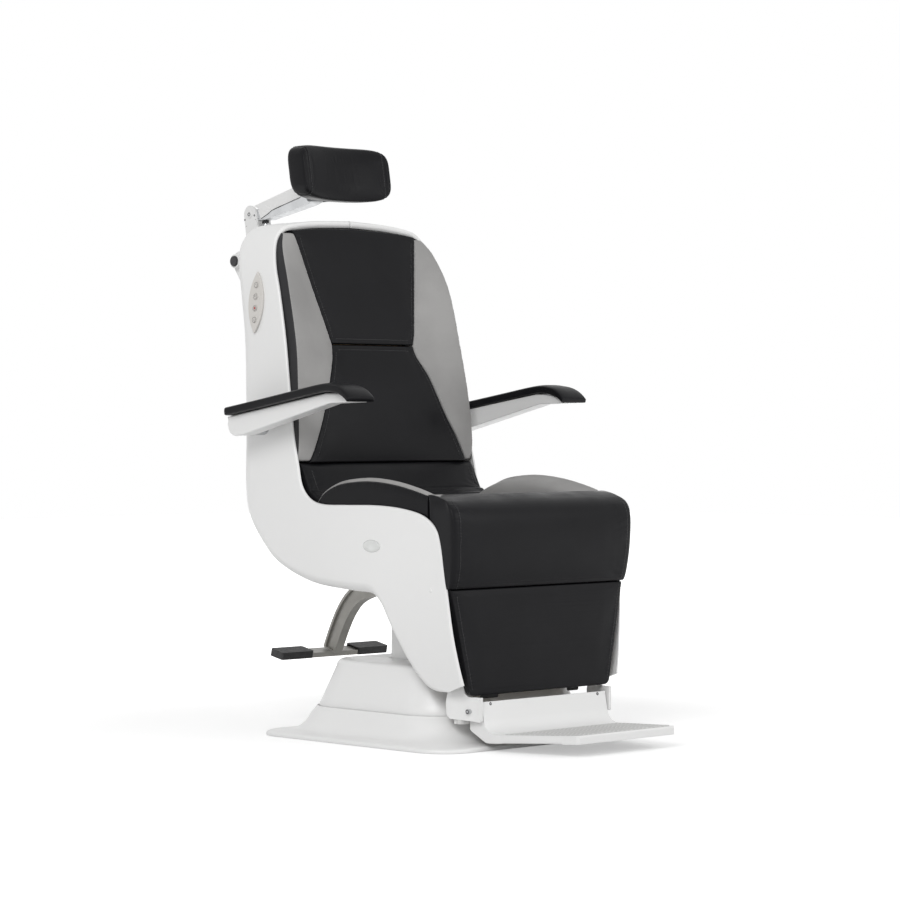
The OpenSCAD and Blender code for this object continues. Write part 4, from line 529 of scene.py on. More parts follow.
# Tongue up behind the headrest's housing
outer_count = face_x.shape[1] + 2
tongue_y = edge[0, 1] - 0.0058 - 0.004 * (np.arange(back_grid.shape[1]) >= outer_count)
tongue = [np.stack([back_grid[0, :, 0], tongue_y, np.full_like(tongue_y, edge[0, 2] + rise)], -1)
          for rise in (0.014, 0.0)]
back_grid = np.concatenate([np.stack(tongue), back_grid])
rear_cover = surface("back_cover_piece", back_grid, "seat", white_plastic, zip_ends=True)
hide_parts("back_cover")
soften("underside_cover", 0.001, white_plastic)
soften("headrest_housing", 0.006, white_plastic, segments=4)
soften("height_button", 0.003, black_plastic, segments=4)

# ---------------------------------------------------------------- upholstery
# Foam pads covered with smooth leatherette, black in the middle and light grey on the wings and bolsters,
# cut in panels, sewn with a lockstitch beside each seam and stretched tight over the foam.


def leatherette(name, colour, roughness, strength=0.28):
    """Leatherette: pebbled cells a millimetre or so across, finer creases between them, soft hand-sized waves
    in the skin, and uneven gloss."""
    material, tree, shader, place = finish_material(name, colour, roughness, Specular_IOR_Level=0.10)
    cells = tree.nodes.new("ShaderNodeTexVoronoi")
    cells.inputs["Scale"].default_value = 620.0
    cells.inputs["Randomness"].default_value = 0.9
    tree.links.new(place.outputs["Object"], cells.inputs["Vector"])
    crease = noise(tree, place, 900.0, 3.0)
    dark, light = ([c * share for c in colour] for share in (0.88, 1.1))
    vary(tree, shader, "Base Color", noise(tree, place, 7.0, 5.0), dark, light)
    vary(tree, shader, "Roughness", noise(tree, place, 16.0, 4.0), roughness - 0.05, roughness + 0.07)
    emboss(tree, shader, [cells.outputs["Distance"], crease], strength, 0.00022)
    return material


black_leather = leatherette("black_leather", (0.0080, 0.0080, 0.0092), 0.36)
grey_leather = leatherette("grey_leather", (0.335, 0.33, 0.325), 0.5, 0.22)
gusset_leather = leatherette("gusset_leather", (0.036, 0.036, 0.038), 0.5, 0.22)
twist = (2500.0, 3.0, 0.4, 0.0002)
black_thread = moulded("black_thread", (0.03, 0.03, 0.032), 0.6, None, twist, Sheen_Weight=0.3)
grey_thread = moulded("grey_thread", (0.40, 0.395, 0.39), 0.6, None, twist, Sheen_Weight=0.3)


def rows_of(x, y, z):
    """Points from x, y and z, each one number for all rows or one for each row."""
    return np.stack(np.broadcast_arrays(x, y, z), -1)


def from_to(start, stop, t):
    """start + (stop - start) t."""
    return start + (stop - start) * t


def pad_rings(origin, across, up, crown, square, count=72):
    """Ring at each station: a superellipse |x|^k + |y|^k = 1 between origin and origin + across + up, with
    the far side crowned by crown (1 - x^2)."""
    across, up = np.broadcast_to(across, origin.shape), np.broadcast_to(up, origin.shape)
    a = ring_angles(count)
    power = (2 / np.asarray(square, float)) * np.ones(len(origin))
    x = np.sign(np.cos(a)) * np.abs(np.cos(a)) ** power[:, None]
    y = np.sign(np.sin(a)) * np.abs(np.sin(a)) ** power[:, None]
    bow = np.where(np.sin(a) > 0, 1 - x**2, 0) * (np.asarray(crown) * np.ones(len(origin)))[:, None]
    return (origin[:, None] + across[:, None] * (0.5 + 0.5 * x)[..., None] + up[:, None] * (0.5 + 0.5 * y)[..., None]
            + unit(up)[:, None] * bow[..., None])


def pinched(grid, angles, depth, width):
    """Sewn seam along the pad: points near the seam's angle go towards their ring's middle by depth times a bell."""
    a = ring_angles(grid.shape[1])[None, :]
    middle = grid.mean(1, keepdims=True)
    for angle in angles:
        bell = np.exp(-((a - np.radians(angle)) / np.radians(width)) ** 2)
        grid = grid + unit(middle - grid) * (depth * bell)[..., None]
    return grid


def seam_lines(grid, pairs, trim=4):
    """Lines along a pad at pairs of ring angles in degrees: each seam and the row of stitches beside it."""
    return [tuple(grid[trim:-trim, int(angle / 360 * grid.shape[1])] for angle in pair) for pair in pairs]


def drawn_in(count, power, end=0.004):
    """Share of full size along a pad, from 0 to 1: (1 - |2t - 1|^p)^(1/p), so that its ends close round."""
    t = np.linspace(end, 1 - end, count)
    return t, (1 - np.abs(2 * t - 1) ** power) ** (1 / power)


def by_height(knots, z):
    """Linear interpolation of x and y along knots sorted by height, extended past both ends."""
    order = np.argsort(knots[:, 2])
    k = knots[order]
    i = np.clip(np.searchsorted(k[:, 2], z) - 1, 0, len(k) - 2)
    t = (z - k[i, 2]) / (k[i + 1, 2] - k[i, 2])
    return k[i, :2] + (k[i + 1, :2] - k[i, :2]) * t[:, None]


def swell(piece, free, cap=0.006, pressure=3.0):
    """Cloth run under inner pressure: points where free(points, normals) is 0 stay held, the others bulge,
    and each move d is kept as cap * tanh(d / cap)."""
    mesh = piece.data
    rest, normals = points_of(mesh), points_of(mesh, "normal")
    held = 1 - np.clip(free(rest, normals), 0, 1)
    group = piece.vertex_groups.new(name="held")
    for weight in np.unique(np.round(held[held > 0], 1)):
        members = np.nonzero(np.abs(held - weight) <= 0.05)[0]
        group.add(members.tolist(), float(weight), "REPLACE")
    cloth = piece.modifiers.new("swell", "CLOTH")
    settings = cloth.settings
    settings.quality = 4
    settings.mass = 0.3
    settings.tension_stiffness = settings.compression_stiffness = 30
    settings.shear_stiffness = 15
    settings.bending_stiffness = 2
    settings.use_pressure = True
    settings.uniform_pressure_force = pressure
    settings.vertex_group_mass = "held"
    settings.effector_weights.gravity = 0
    for step in range(1, 13):
        bpy.context.scene.frame_set(step)
    shaped = piece.evaluated_get(bpy.context.evaluated_depsgraph_get())
    move = points_of(shaped.data) - rest
    length = np.linalg.norm(move, axis=1, keepdims=True)
    move *= cap * np.tanh(length / cap) / np.maximum(length, 1e-9)
    piece.modifiers.remove(cloth)
    piece.vertex_groups.clear()
    mesh.vertices.foreach_set("co", (rest + move).ravel())
    mesh.update()
    bpy.context.scene.frame_set(1)


def subdivided(piece):
    """Catmull-Clark once, kept on the mesh."""
    fine = piece.modifiers.new("fine", "SUBSURF")
    fine.levels = fine.render_levels = 1
    result = bpy.data.meshes.new_from_object(piece.evaluated_get(bpy.context.evaluated_depsgraph_get()))
    piece.modifiers.remove(fine)
    result.name = piece.name
    piece.data = result


def pucker(piece, seams, height=0.00035, wave=0.011, reach=0.010):
    """Puckered leather beside a seam: height * sin(2 pi s / wave + 1.4 sin(4 s / wave)) along the normal, where s
    runs along the seam, rising from the seam line and fading over reach."""
    mesh = piece.data
    points, normals = points_of(mesh), points_of(mesh, "normal")
    for path in seams:
        run = np.concatenate([[0], np.cumsum(np.linalg.norm(np.diff(path, axis=0), axis=1))])
        s = np.arange(0, run[-1], 0.003)
        line = np.stack([np.interp(s, run, path[:, k]) for k in range(3)], -1)
        box = np.all((points > line.min(0) - 3 * reach) & (points < line.max(0) + 3 * reach), axis=1)
        near = np.nonzero(box)[0]
        if not len(near):
            continue
        square = ((points[near, None] - line[None]) ** 2).sum(-1)
        at = square.argmin(1)
        distance = np.sqrt(square[np.arange(len(near)), at])
        phase = 2 * np.pi * s[at] / wave + 1.4 * np.sin(4 * s[at] / wave)
        rise = height * np.sin(phase) * np.exp(-(distance / reach) ** 2) * (1 - np.exp(-(distance / 0.0015) ** 2))
        points[near] += normals[near] * rise[:, None]
    mesh.vertices.foreach_set("co", points.ravel())
    mesh.update()


def tube(name, path, radius, body, material, sides=10):
    """Round cord along a path: circles of the radius in each point's normal plane, their axes carried from -Z."""
    head = unit(np.gradient(path, axis=0))
    first = unit(np.cross(head, np.broadcast_to([0.13, 0.31, 0.94], head.shape)))
    second = np.cross(head, first)
    a = ring_angles(sides)
    step = np.arange(len(path))
    size = radius * np.clip(np.minimum(step, step[::-1]) / 2.0 + 0.25, 0, 1)[:, None, None]
    grid = path[:, None] + size * (np.cos(a)[:, None] * first[:, None] + np.sin(a)[:, None] * second[:, None])
    return surface(name, grid, body, material, zip_ends=True)


def stitches(name, piece, path, body, material, pitch=0.0062, length=0.0044, radius=0.00042):
    """Row of lockstitches: spindles (5 rings of 6 points) at even steps of the path, laid on the piece's surface."""
    run = np.concatenate([[0], np.cumsum(np.linalg.norm(np.diff(path, axis=0), axis=1))])
    at = np.arange(pitch, run[-1] - pitch, pitch)
    spots = np.stack([np.interp(at, run, path[:, k]) for k in range(3)], -1)
    found = [piece.closest_point_on_mesh(Vector(spot)) for spot in spots]
    spots = np.array([hit[1] for hit in found])
    up = np.array([hit[2] for hit in found])
    head = unit(np.gradient(spots, axis=0))
    up = unit(up - head * (up * head).sum(1, keepdims=True))
    side = np.cross(head, up)
    along = np.array([-0.5, -0.42, 0, 0.42, 0.5])
    wide = np.array([0.25, 0.8, 1.0, 0.8, 0.25])
    a = ring_angles(6)
    shape = (length * along[:, None, None] * head[:, None, None] + radius * wide[:, None, None] * (
        np.cos(a)[:, None] * side[:, None, None] + np.sin(a)[:, None] * up[:, None, None]))
    dots = (spots + up * radius * 0.35)[:, None, None] + shape
    count = len(spots)
    index = np.arange(count * 30).reshape(count, 5, 6)
    nxt = np.roll(index, -1, axis=2)
    quads = np.stack([index[:, :-1], nxt[:, :-1], nxt[:, 1:], index[:, 1:]], -1).reshape(-1, 4).tolist()
    caps = index[:, 0, ::-1].tolist() + index[:, 4].tolist()
    return mesh_piece(name, dots.reshape(-1, 3), quads + caps, body, material)


def padding(name, grid, body, materials, free, cap=0.006, seams=(), paint=None, node=None,
            thread=None, end_paint=0):
    """Pad from its grid: skin, second material where paint is set (end_paint on the end faces), cloth swell, one
    subdivision, puckered seams and a row of stitches beside each seam."""
    piece = surface(name, grid, body, materials[0], zip_ends=True)
    for material in materials[1:]:
        piece.data.materials.append(material)
    if paint is not None:
        index = np.full(len(piece.data.polygons), end_paint, np.int32)
        index[:paint.size] = paint.ravel()
        piece.data.polygons.foreach_set("material_index", index)
    swell(piece, free, cap)
    subdivided(piece)
    pucker(piece, [line for line, _ in seams])
    for k, (_, beside) in enumerate(seams):
        if beside is not None:
            stitches(f"{name}_stitches_{k + 1}", piece, beside, body, thread or black_thread)
    if node:
        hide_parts(node)
    return piece


def facing(direction, start=0.86, stop=0.96):
    """Free share of a point: 0 to 1 as its normal turns towards the direction."""
    aim = unit(np.array(direction, float))
    return lambda points, normals: (normals @ aim - start) / (stop - start)


back_low, back_high = 0.600, 1.118
back_line = np.array([[0, 0.236, 0.600], [0, 0.243, 0.700], [0, 0.262, 0.7995], [0, 0.285, 0.900], [0, 0.308, 1.000],
                      [0, 0.3366, 1.118]])
wing_edge = place_shares([
    [0.971, 0.673, 0.468], [0.975, 0.666, 0.513], [0.964, 0.675, 0.604], [0.931, 0.699, 0.721],
    [0.909, 0.744, 0.851], [0.850, 0.795, 0.930], [0.765, 0.825, 0.968]])
centre_edge = place_shares([
    [0.873, 0.653, 0.468], [0.771, 0.660, 0.524], [0.676, 0.673, 0.574], [0.553, 0.696, 0.653],
    [0.458, 0.728, 0.711], [0.491, 0.741, 0.757], [0.582, 0.777, 0.857], [0.680, 0.816, 0.971]])
seam_half = 0.0004


def curved(knots, z):
    """Smooth version of by_height: a Catmull-Rom curve through the knots, sampled finely and read at z."""
    fine = smooth_line(knots, 24)
    return np.stack([np.interp(z, fine[:, 2], fine[:, k]) for k in (0, 1)], -1)


def backrest_panel(name, z0, z1, top_bow, node=None):
    """Centre panel between the two curved seams, from z0 to z1, slightly hollow across."""
    rows, cols = 90, 130
    t, full = drawn_in(rows, 70, 0.0025)
    z = from_to(z0, z1, t)
    side = curved(centre_edge, z)
    rear = by_height(back_line, z)[:, 1]
    half, depth = side[:, 0] - seam_half, rear - side[:, 1]
    origin = rows_of(half, rear - depth * (1 - full) / 4, z)
    grid = pad_rings(origin, rows_of(-2 * half, 0, 0), rows_of(0, -depth * full, 0), -0.004, 18, cols)
    across = grid[..., 0] / half[:, None]
    grid[..., 2] += top_bow * t[:, None] ** 4 * (1 - across**2)
    # The two panels also meet in a seam across the front, at the upper one's first rows and the lower one's last
    edge_row, inner_row = (1, 4) if z0 > back_low + 0.2 else (rows - 2, rows - 5)
    front = slice(int(64 / 360 * cols), int(118 / 360 * cols))
    seams = seam_lines(grid, ((48, 56), (132, 124))) + [(grid[edge_row, front], grid[inner_row, front])]
    return padding(name, grid, "seat", [black_leather], facing((0, -1, 0.1)), 0.006, seams,
                   node=node)


seam_height = 0.863
backrest_panel("backrest_upper_pad", seam_height + 0.0003, back_high, 0.0135)
backrest_panel("backrest_lower_pad", back_low - 0.0022, seam_height - 0.0003, 0.0, node="backrest_centre")


def wing(side, name):
    """Side panel: from the centre seam out to the wing edge, thicker outwards; its outer flank is a dark gusset."""
    rows, cols = 130, 110
    t, full = drawn_in(rows, 16)
    z = from_to(back_low, back_high - 0.004, t)
    inner, outer = curved(centre_edge, z), curved(wing_edge, z)
    rear = by_height(back_line, z)[:, 1]
    width, depth, lean = outer[:, 0] - inner[:, 0], rear - inner[:, 1], outer[:, 1] - inner[:, 1]
    flat = pad_rings(np.zeros((rows, 3)), rows_of(width, 0, 0), rows_of(0, -depth * full, 0), 0.003, 12, cols)
    x, y = flat[..., 0], flat[..., 1]
    lean_share = (1 - x / width[:, None]) * (-y / depth[:, None])
    grid = np.stack([side * (outer[:, :1] - x), rear[:, None] + y + lean_share * lean[:, None],
                     np.broadcast_to(z[:, None], x.shape)], -1)
    a = np.degrees(ring_angles(cols))
    flank = (a[:-1] > 134) & (a[:-1] < 250)
    paint = np.zeros((rows - 1, cols), np.int32)
    paint[:, :-1][:, flank] = 1
    return padding(name + "_pad", grid, "seat", [grey_leather, gusset_leather],
                   facing((side * -0.15, -1, 0.15)), 0.005, seam_lines(grid, ((134, 126), (46, 54)), 5), paint,
                   node=name, thread=grey_thread)


for side, hand in hands:
    wing(side, hand + "_wing")

# Seat padding: flat middle, two humped bolsters, a raised rear, and the deep front roll
pan_top, seat_inner, foam = 0.4823, 0.200, 0.042
t, full = drawn_in(80, 12)
y = from_to(-0.212, 0.118, t)
seat_grid = pad_rings(rows_of(-seat_inner + 0.0005, y, pan_top), (2 * seat_inner - 0.001, 0, 0),
                      rows_of(0, 0, foam * full), 0.004, 14, 120)
# Its front end climbs to the roll
climb = 0.0095 * np.clip((-0.150 - y) / 0.055, 0, 1) ** 2
seat_grid[..., 2] += climb[:, None] * np.clip((seat_grid[..., 2] - pan_top) / foam, 0, 1)
padding("seat_pad", seat_grid, "seat", [black_leather], facing((0, 0, 1)), 0.006,
        node="seat_cushion")

crest_line = np.array([[0.138, 0.510], [0.129, 0.5235], [0.111, 0.5415], [0.082, 0.5555], [0.047, 0.5645],
                       [-0.014, 0.5700], [-0.066, 0.5685], [-0.122, 0.5615], [-0.178, 0.5495], [-0.2152, 0.5391]])
pan_line = np.array([[0.120, 0.4742], [0.1599, 0.4861], [0.1975, 0.5178], [0.2323, 0.5961]])
pan_slope = (pan_line[1, 1] - pan_line[0, 1]) / (pan_line[1, 0] - pan_line[0, 0])


def bolster(side, name):
    """Side bolster, highest along its outer crest seam: the side panel below the seam is black, the top beyond it is
    grey, swells a little and then falls away to the sitter. A grey piping runs along the seam."""
    line = smooth_line(crest_line, 12)
    cols = 120
    foot = pan_top + np.maximum(line[:, 0] - pan_line[0, 0] + 0.002, 0) * pan_slope
    inner, width, height = seat_inner + 0.0004, 0.066, line[:, 1] - foot - 0.003
    grid = pad_rings(rows_of(inner, line[:, 0], foot), (width, 0, 0), rows_of(0, 0, height), 0.0, 5, cols)
    across, rise = (grid[..., 0] - inner) / width, (grid[..., 2] - foot[:, None]) / height[:, None]
    grid[..., 2] += rise * (0.0042 * np.exp(-((across - 0.80) / 0.14) ** 2) - 0.015 * (1 - across) ** 1.7)
    crest = 47
    grid = pinched(grid, [crest], 0.0010, 2.5) * [side, 1, 1]
    a = np.degrees(ring_angles(cols))
    paint = np.zeros((len(line) - 1, cols), np.int32)
    paint[:, (a < crest - 1.5) | (a > 268)] = 1
    seams = seam_lines(grid, ((crest, crest - 10),), 3)
    padding(name + "_pad", grid, "seat", [grey_leather, black_leather],
            facing((-side * 0.5, 0, 1), 0.5, 0.8), 0.003, seams, paint, node=name, end_paint=1)
    proud = [side * 0.0004, 0, 0.0004]
    tube(name + "_piping", seams[0][0] + proud, 0.0013, "seat", grey_leather)


for side, hand in hands:
    bolster(side, hand + "_bolster")

roll_line = np.array([[-0.2790, 0.3405], [-0.2860, 0.3415], [-0.2905, 0.3490], [-0.2960, 0.3680], [-0.3020, 0.4050],
                      [-0.3045, 0.4450], [-0.3045, 0.4750], [-0.3010, 0.4970], [-0.2920, 0.5120], [-0.2760, 0.5240],
                      [-0.2520, 0.5320], [-0.2300, 0.5360], [-0.2180, 0.5370]])
roll_back, roll_half = -0.2163, 0.2650


def front_roll():
    """Front roll: full width, its face leaning out to mid height and its top edge rounding over to the rear. In front
    of the shells' edges it swells out to the shells' own width. The side panels wrap the corners and meet the front
    panel in sewn seams, and grey tips run in from the bolsters to a point."""
    line = smooth_line(roll_line, 8)
    rows, cols = len(line), 220
    t = np.linspace(0, 1, rows)
    reach, z = roll_back - line[:, 0], line[:, 1]
    half = roll_half + 0.003 * np.sin(np.pi * np.minimum(t, 0.75))
    grid = pad_rings(rows_of(half, roll_back, z), rows_of(-2 * half, 0, 0), rows_of(0, -reach, 0), 0.003, 18, cols)
    ahead = np.clip((-grid[..., 1] - 0.266) / 0.022, 0, 1)
    outward = np.abs(grid[..., 0]) / half[:, None]
    low_edge = front_edge[23:18:-1]
    more = np.interp(z, low_edge[:, 2], low_edge[:, 0]) / half - 1
    grid[..., 0] *= 1 + more[:, None] * ahead**2 * (3 - 2 * ahead) * outward**6
    seam_angle = 51 - 4 * t
    a = np.degrees(ring_angles(cols))[None, :]
    middle = grid.mean(1, keepdims=True)
    for angle in (seam_angle, 180 - seam_angle):
        bell = np.exp(-((a - angle[:, None]) / 1.6) ** 2)
        grid = grid + unit(middle - grid) * (0.0012 * bell)[..., None]
    corner = (grid[:-1] + grid[1:]) / 2
    side_x = np.abs(corner[..., 0])
    way = np.clip((roll_back - corner[..., 1]) / 0.030, 0, 1)
    tips = (way < 1) & (corner[..., 2] > 0.530) & (side_x > 0.212 + 0.048 * way**0.7) & (side_x < 0.2605)
    seams = []
    for sign in (1, -1):
        picks = [np.array([int((angle if sign > 0 else 180 - angle) / 360 * cols) for angle in seam_angle + shift])
                 for shift in (0, 6)]
        seams.append(tuple(grid[np.arange(3, rows - 22), pick[3:rows - 22]] for pick in picks))
    padding("front_roll_pad", grid, "seat", [black_leather, grey_leather],
            lambda points, normals: np.where((np.abs(normals[:, 0]) < 0.2) & (normals[:, 1] < -0.3), 1.0, 0.0),
            0.004, seams, tips.astype(np.int32), node="front_roll")


front_roll()


def lumbar():
    """Rear of the seat, turned up to meet the backrest: a slab carried along the bent board."""
    step = unit(np.gradient(pan_line, axis=0))
    top = pan_line + 0.0083 * np.stack([-step[:, 1], step[:, 0]], -1)
    t, full = drawn_in(80, 12)
    along = from_to(0.32, 3, t)
    line = np.stack([np.interp(along, range(4), top[:, k]) for k in (0, 1)], -1)
    head = unit(np.gradient(spline(top, along), axis=0))
    out = unit(np.stack([-head[:, 1], head[:, 0]], -1) * (1 - t**3)[:, None] + np.array([-1, 0]) * (t**3)[:, None])
    thick = from_to(foam, 0.036, t) * full
    grid = pad_rings(rows_of(-0.262, line[:, 0], line[:, 1]), (0.524, 0, 0),
                     rows_of(0, thick * out[:, 0], thick * out[:, 1]), 0.004, 14, 140)
    grid = pinched(grid, [48, 132], 0.0012, 2.2)
    return padding("lumbar_pad", grid, "seat", [black_leather], facing((0, -0.7, 0.7), 0.6, 0.8),
                   0.004, seam_lines(grid, ((48, 56), (132, 124))), node="lumbar_cushion")


lumbar()


def calf():
    """Calf pad: narrows downwards, thick at the top and thin at the foot, on its sloping board. Its lower corners are
    round: the half width shrinks by corner_x (1 - sqrt(1 - s^2)) over the lowest corner_z."""
    cols = 180
    t, full = drawn_in(100, 40, 0.0025)
    foot_z, top_z, foot_half, top_half, corner_x, corner_z = 0.114, 0.3397, 0.213, 0.262, 0.013, 0.014
    z = from_to(foot_z, top_z, t)
    corner = np.clip(1 - (z - z[0]) / corner_z, 0, 1)
    half = from_to(foot_half, top_half, t) - corner_x * (1 - np.sqrt(1 - corner**2))
    back, face = from_to(-0.274, -0.246, t), -0.289 + 0.005 * t
    grid = pad_rings(rows_of(half, back, z), rows_of(-2 * half, 0, 0), rows_of(0, (face - back) * full, 0), 0.003, 26,
                     cols)
    grid = pinched(grid, [48, 132], 0.0010, 1.8)
    return padding("calf_pad_piece", grid, "seat", [black_leather], facing((0, -1, 0)), 0.005,
                   seam_lines(grid, ((48, 55), (132, 125))), node="calf_pad")


calf()

# ---------------------------------------------------------------- keypad
# Grey-beige oval keypad on the sitter's right shoulder with four membrane keys. Each has a printed ring and mark:
# an arrow up, an arc for the return, a red disc for the stop and an arrow down.

keypad_plastic = moulded("keypad_plastic", (0.64, 0.62, 0.59), 0.45, (80.0, 0.4, 0.52), (900.0, 2.0, 0.1, 0.0002))
key_red = moulded("key_red", (0.42, 0.045, 0.035), 0.4, (80.0, 0.35, 0.5))
key_print = moulded("key_print", (0.16, 0.16, 0.16), 0.55, (300.0, 0.5, 0.6))
soften("keypad_housing", 0.0012, keypad_plastic)
key_out, key_up = np.array([-0.99715, 0, 0.07551]), np.array([0.07551, 0, 0.99715])


def on_circle(radius, angles):
    """radius (cos a, sin a) at each angle a."""
    return radius * np.stack([np.cos(angles), np.sin(angles)], -1)


arrow = np.array([[-0.0022, -0.0004], [0, 0.0022], [0.0022, -0.0004]])
key_marks = {"up_key": arrow, "return_key": on_circle(0.0022, np.radians(np.linspace(-60, 210, 12))),
             "down_key": arrow * [1, -1]}


def on_key(key, flat):
    """Points (along y, along the face's height) on the outer face of a key."""
    low, high = (np.array(corner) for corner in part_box(key))
    face = (low + high) / 2 + key_out * ((high[0] - low[0]) / 2 * 0.97)
    return face + flat[:, :1] * [0, 1, 0] + flat[:, 1:] * key_up


def key_line(name, key, flat):
    """Printed line on a key: a thin cord half sunk in its face."""
    return tube(name, on_key(key, flat), 0.00034, key, key_print, 6)


for key in ("up_key", "return_key", "stop_key", "down_key"):
    soften(key, 0.0005, keypad_plastic)
    low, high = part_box(key)
    key_line(key + "_ring", key, on_circle((high.y - low.y) / 2 * 0.84, np.radians(np.linspace(0, 360, 37))))
    if key in key_marks:
        key_line(key + "_mark", key, key_marks[key])
disc_levels = [(0.0026, -0.0006), (0.0028, 0.0), (0.0026, 0.0004), (0.0010, 0.0006), (0.0002, 0.0006)]
stop_disc = [on_key("stop_key", on_circle(radius, ring_angles(24))) + key_out * rise for radius, rise in disc_levels]
surface("stop_disc", np.stack(stop_disc), "stop_key", key_red, zip_ends=True)

# ---------------------------------------------------------------- armrests
# White brackets that fold up on a pin, each with a black padded top that curves down at the front.

for side, hand in hands:
    soften(hand + "_arm", 0.005, white_coat, segments=4)


def arm_top(side, hand):
    """Armrest pad: a flat-bottomed slab carried along the bracket's curved top edge, wider to the front."""
    line = np.array([[0.337, 0.7030], [0.240, 0.7178], [0.130, 0.7352], [0.020, 0.752], [-0.022, 0.751],
                     [-0.050, 0.744], [-0.072, 0.732]])
    u = np.concatenate([np.linspace(0, 0.06, 8)[:-1], np.linspace(0.06, 5.8, 90)[:-1], np.linspace(5.8, 6, 10)])
    path = spline(line, u)
    head = unit(np.gradient(path, axis=0))
    t = u / 6
    half = from_to(0.030, 0.0395, t**1.5)
    end = np.clip(np.minimum((u + 0.015) / 0.05, (6.0 - u + 0.02) / 0.16), 0, 1)
    thin = np.clip((u - 4.2) / 1.8, 0, 1)
    full = (np.sqrt(1 - (1 - end) ** 2) * 0.85 + 0.15) * (1 - 0.5 * thin**2)
    origin = rows_of(side * 0.328 - half, path[:, 0], path[:, 1] + 0.0003)
    up = 0.018 * full[:, None] * rows_of(0, head[:, 1], -head[:, 0])
    grid = pad_rings(origin, rows_of(2 * half, 0, 0), up, 0.002, 6, 72)
    piece = surface(hand + "_arm_pad_piece", grid, hand + "_armrest", black_leather,
                    zip_ends=True)
    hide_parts(hand + "_arm_pad")


for side, hand in hands:
    arm_top(side, hand)

# ---------------------------------------------------------------- headrest
# A white mast with two cheeks carries a cast arm under a white cover, and a wrapped black pad on a hinge. Screws and
# pins show on the cheeks, a black cord of painted shade runs under the cover for the gap's shadow, and a tension
# screw stands in front of the mast.

soften("headrest_mast", 0.0015, white_coat)
soften("headrest_arm", 0.0012, cast_alloy)
soften("headrest_arm_cover", 0.002, white_plastic)


def turned(name, start, axis, levels, body, material, sides=24):
    """Turned part: circles of (radius, distance along the axis) round the axis through start, closed at both ends."""
    axis = unit(np.array(axis, float))
    first = unit(np.cross(axis, [0.3, 0.5, 0.81]))
    second = np.cross(axis, first)
    a = ring_angles(sides)
    levels = np.array(levels)
    grid = (np.array(start) + levels[:, 1, None, None] * axis + levels[:, 0, None, None] * (
        np.cos(a)[:, None] * first + np.sin(a)[:, None] * second))
    return surface(name, grid, body, material, zip_ends=True)


def prism(name, outline, x0, x1, body, material, radius=0.0008):
    """Side view outline (y, z) carried from x0 to x1, its edges rounded by a small bevel."""
    outline = np.array(outline)
    count = len(outline)
    points = np.concatenate([np.column_stack([np.full(count, x), outline]) for x in (x0, x1)])
    sides = [(k, (k + 1) % count, count + (k + 1) % count, count + k) for k in range(count)]
    ends = [tuple(range(count))[::-1], tuple(range(count, 2 * count))]
    piece = mesh_piece(name, points, sides + ends, body, material, smooth=False)
    bevel = piece.modifiers.new("edge", "BEVEL")
    bevel.width, bevel.segments, bevel.limit_method = radius, 2, "ANGLE"
    return piece


screw_steel = bright_metal("screw_steel", (0.13, 0.13, 0.135), 0.35, (1, 1, 1))
screw_head = [(0.0002, -0.002), (0.0032, -0.002), (0.0034, -0.0004), (0.0033, 0.0004), (0.0027, 0.0009),
              (0.0018, 0.0010), (0.0016, 0.0009), (0.0015, -0.0008), (0.0002, -0.0009)]
pin_end = [(0.0002, -0.002), (0.0046, -0.002), (0.0046, 0.0006), (0.0042, 0.0010), (0.0030, 0.0010), (0.0027, 0.0006),
           (0.0026, -0.0010), (0.0002, -0.0010)]
# Hex socket of the pivot screws: a black hexagon of painted shade in the head's recess, standing for the hole
socket = [(0.0002, -0.0012), (0.0025, -0.0012), (0.0025, -0.0003), (0.0002, -0.0003)]
mast_pins = ((0.6284, 1.1740, 0.0024), (0.6628, 1.1648, 0.0024), (0.6574, 1.1499, 0.0009), (0.6251, 1.1642, 0.0008))
pin_levels = np.array([(0.1, -0.0012), (1, -0.0012), (1, 0.0004), (0.8, 0.0006), (0.7, 0.0001), (0.1, 0.0001)])
flank = [(0.6212, 1.1856), (0.6112, 1.1654), (0.5656, 1.1857), (0.5990, 1.1950)]
gap_shade_line = ((0.6112, 1.1651), (0.5875, 1.1752), (0.5656, 1.1853), (0.5180, 1.1969), (0.4703, 1.2083))
for side, hand in hands:
    pivot = (side * 0.0245, 0.645, 1.177)
    turned(hand + "_pivot_screw", pivot, (side, 0, 0), pin_end, "headrest_mast", screw_steel)
    # Black hexagon in each pivot screw's head: painted shade in place of the socket hole
    turned(hand + "_pivot_socket_shade", pivot, (side, 0, 0), socket, "headrest_mast", black_plastic, 6)
    for k, (y, z, r) in enumerate(mast_pins):
        turned(f"{hand}_mast_pin_{k + 1}", (side * 0.022, y, z), (side, 0, 0), pin_levels * [r, 1], "headrest_mast",
               screw_steel, 20)
    prism(hand + "_cover_flank", flank, side * 0.0160, side * 0.0172, "headrest_arm", white_plastic,
          0.0005)
    # Black cord along the cover's lower edge: painted shade of the gap between cover and arm
    shade_cord = smooth_line(np.array([[side * 0.0171, y, z] for y, z in gap_shade_line]), 8)
    tube(hand + "_cover_gap_shade", shade_cord, 0.0007, "headrest_arm", black_plastic, 8)
tension = [(0.0002, 0), (0.0080, 0), (0.0080, 0.004), (0.0066, 0.0045), (0.0066, 0.006), (0.0071, 0.0067),
           (0.0066, 0.0074), (0.0071, 0.0081), (0.0066, 0.0088), (0.0071, 0.0095), (0.0066, 0.0102), (0.0066, 0.0125),
           (0.0002, 0.0125)]
collar = [(0.0002, 0.0123), (0.0082, 0.0123), (0.0084, 0.0135), (0.0084, 0.0170), (0.0078, 0.0178), (0.0002, 0.0178)]
stand, lean = (0, 0.6115, 1.1440), (0, 0.156, 0.988)
turned("tension_screw", stand, lean, tension, "headrest_mast", drawn_steel, 28)
turned("tension_collar", stand, lean, collar, "headrest_mast", black_plastic, 28)


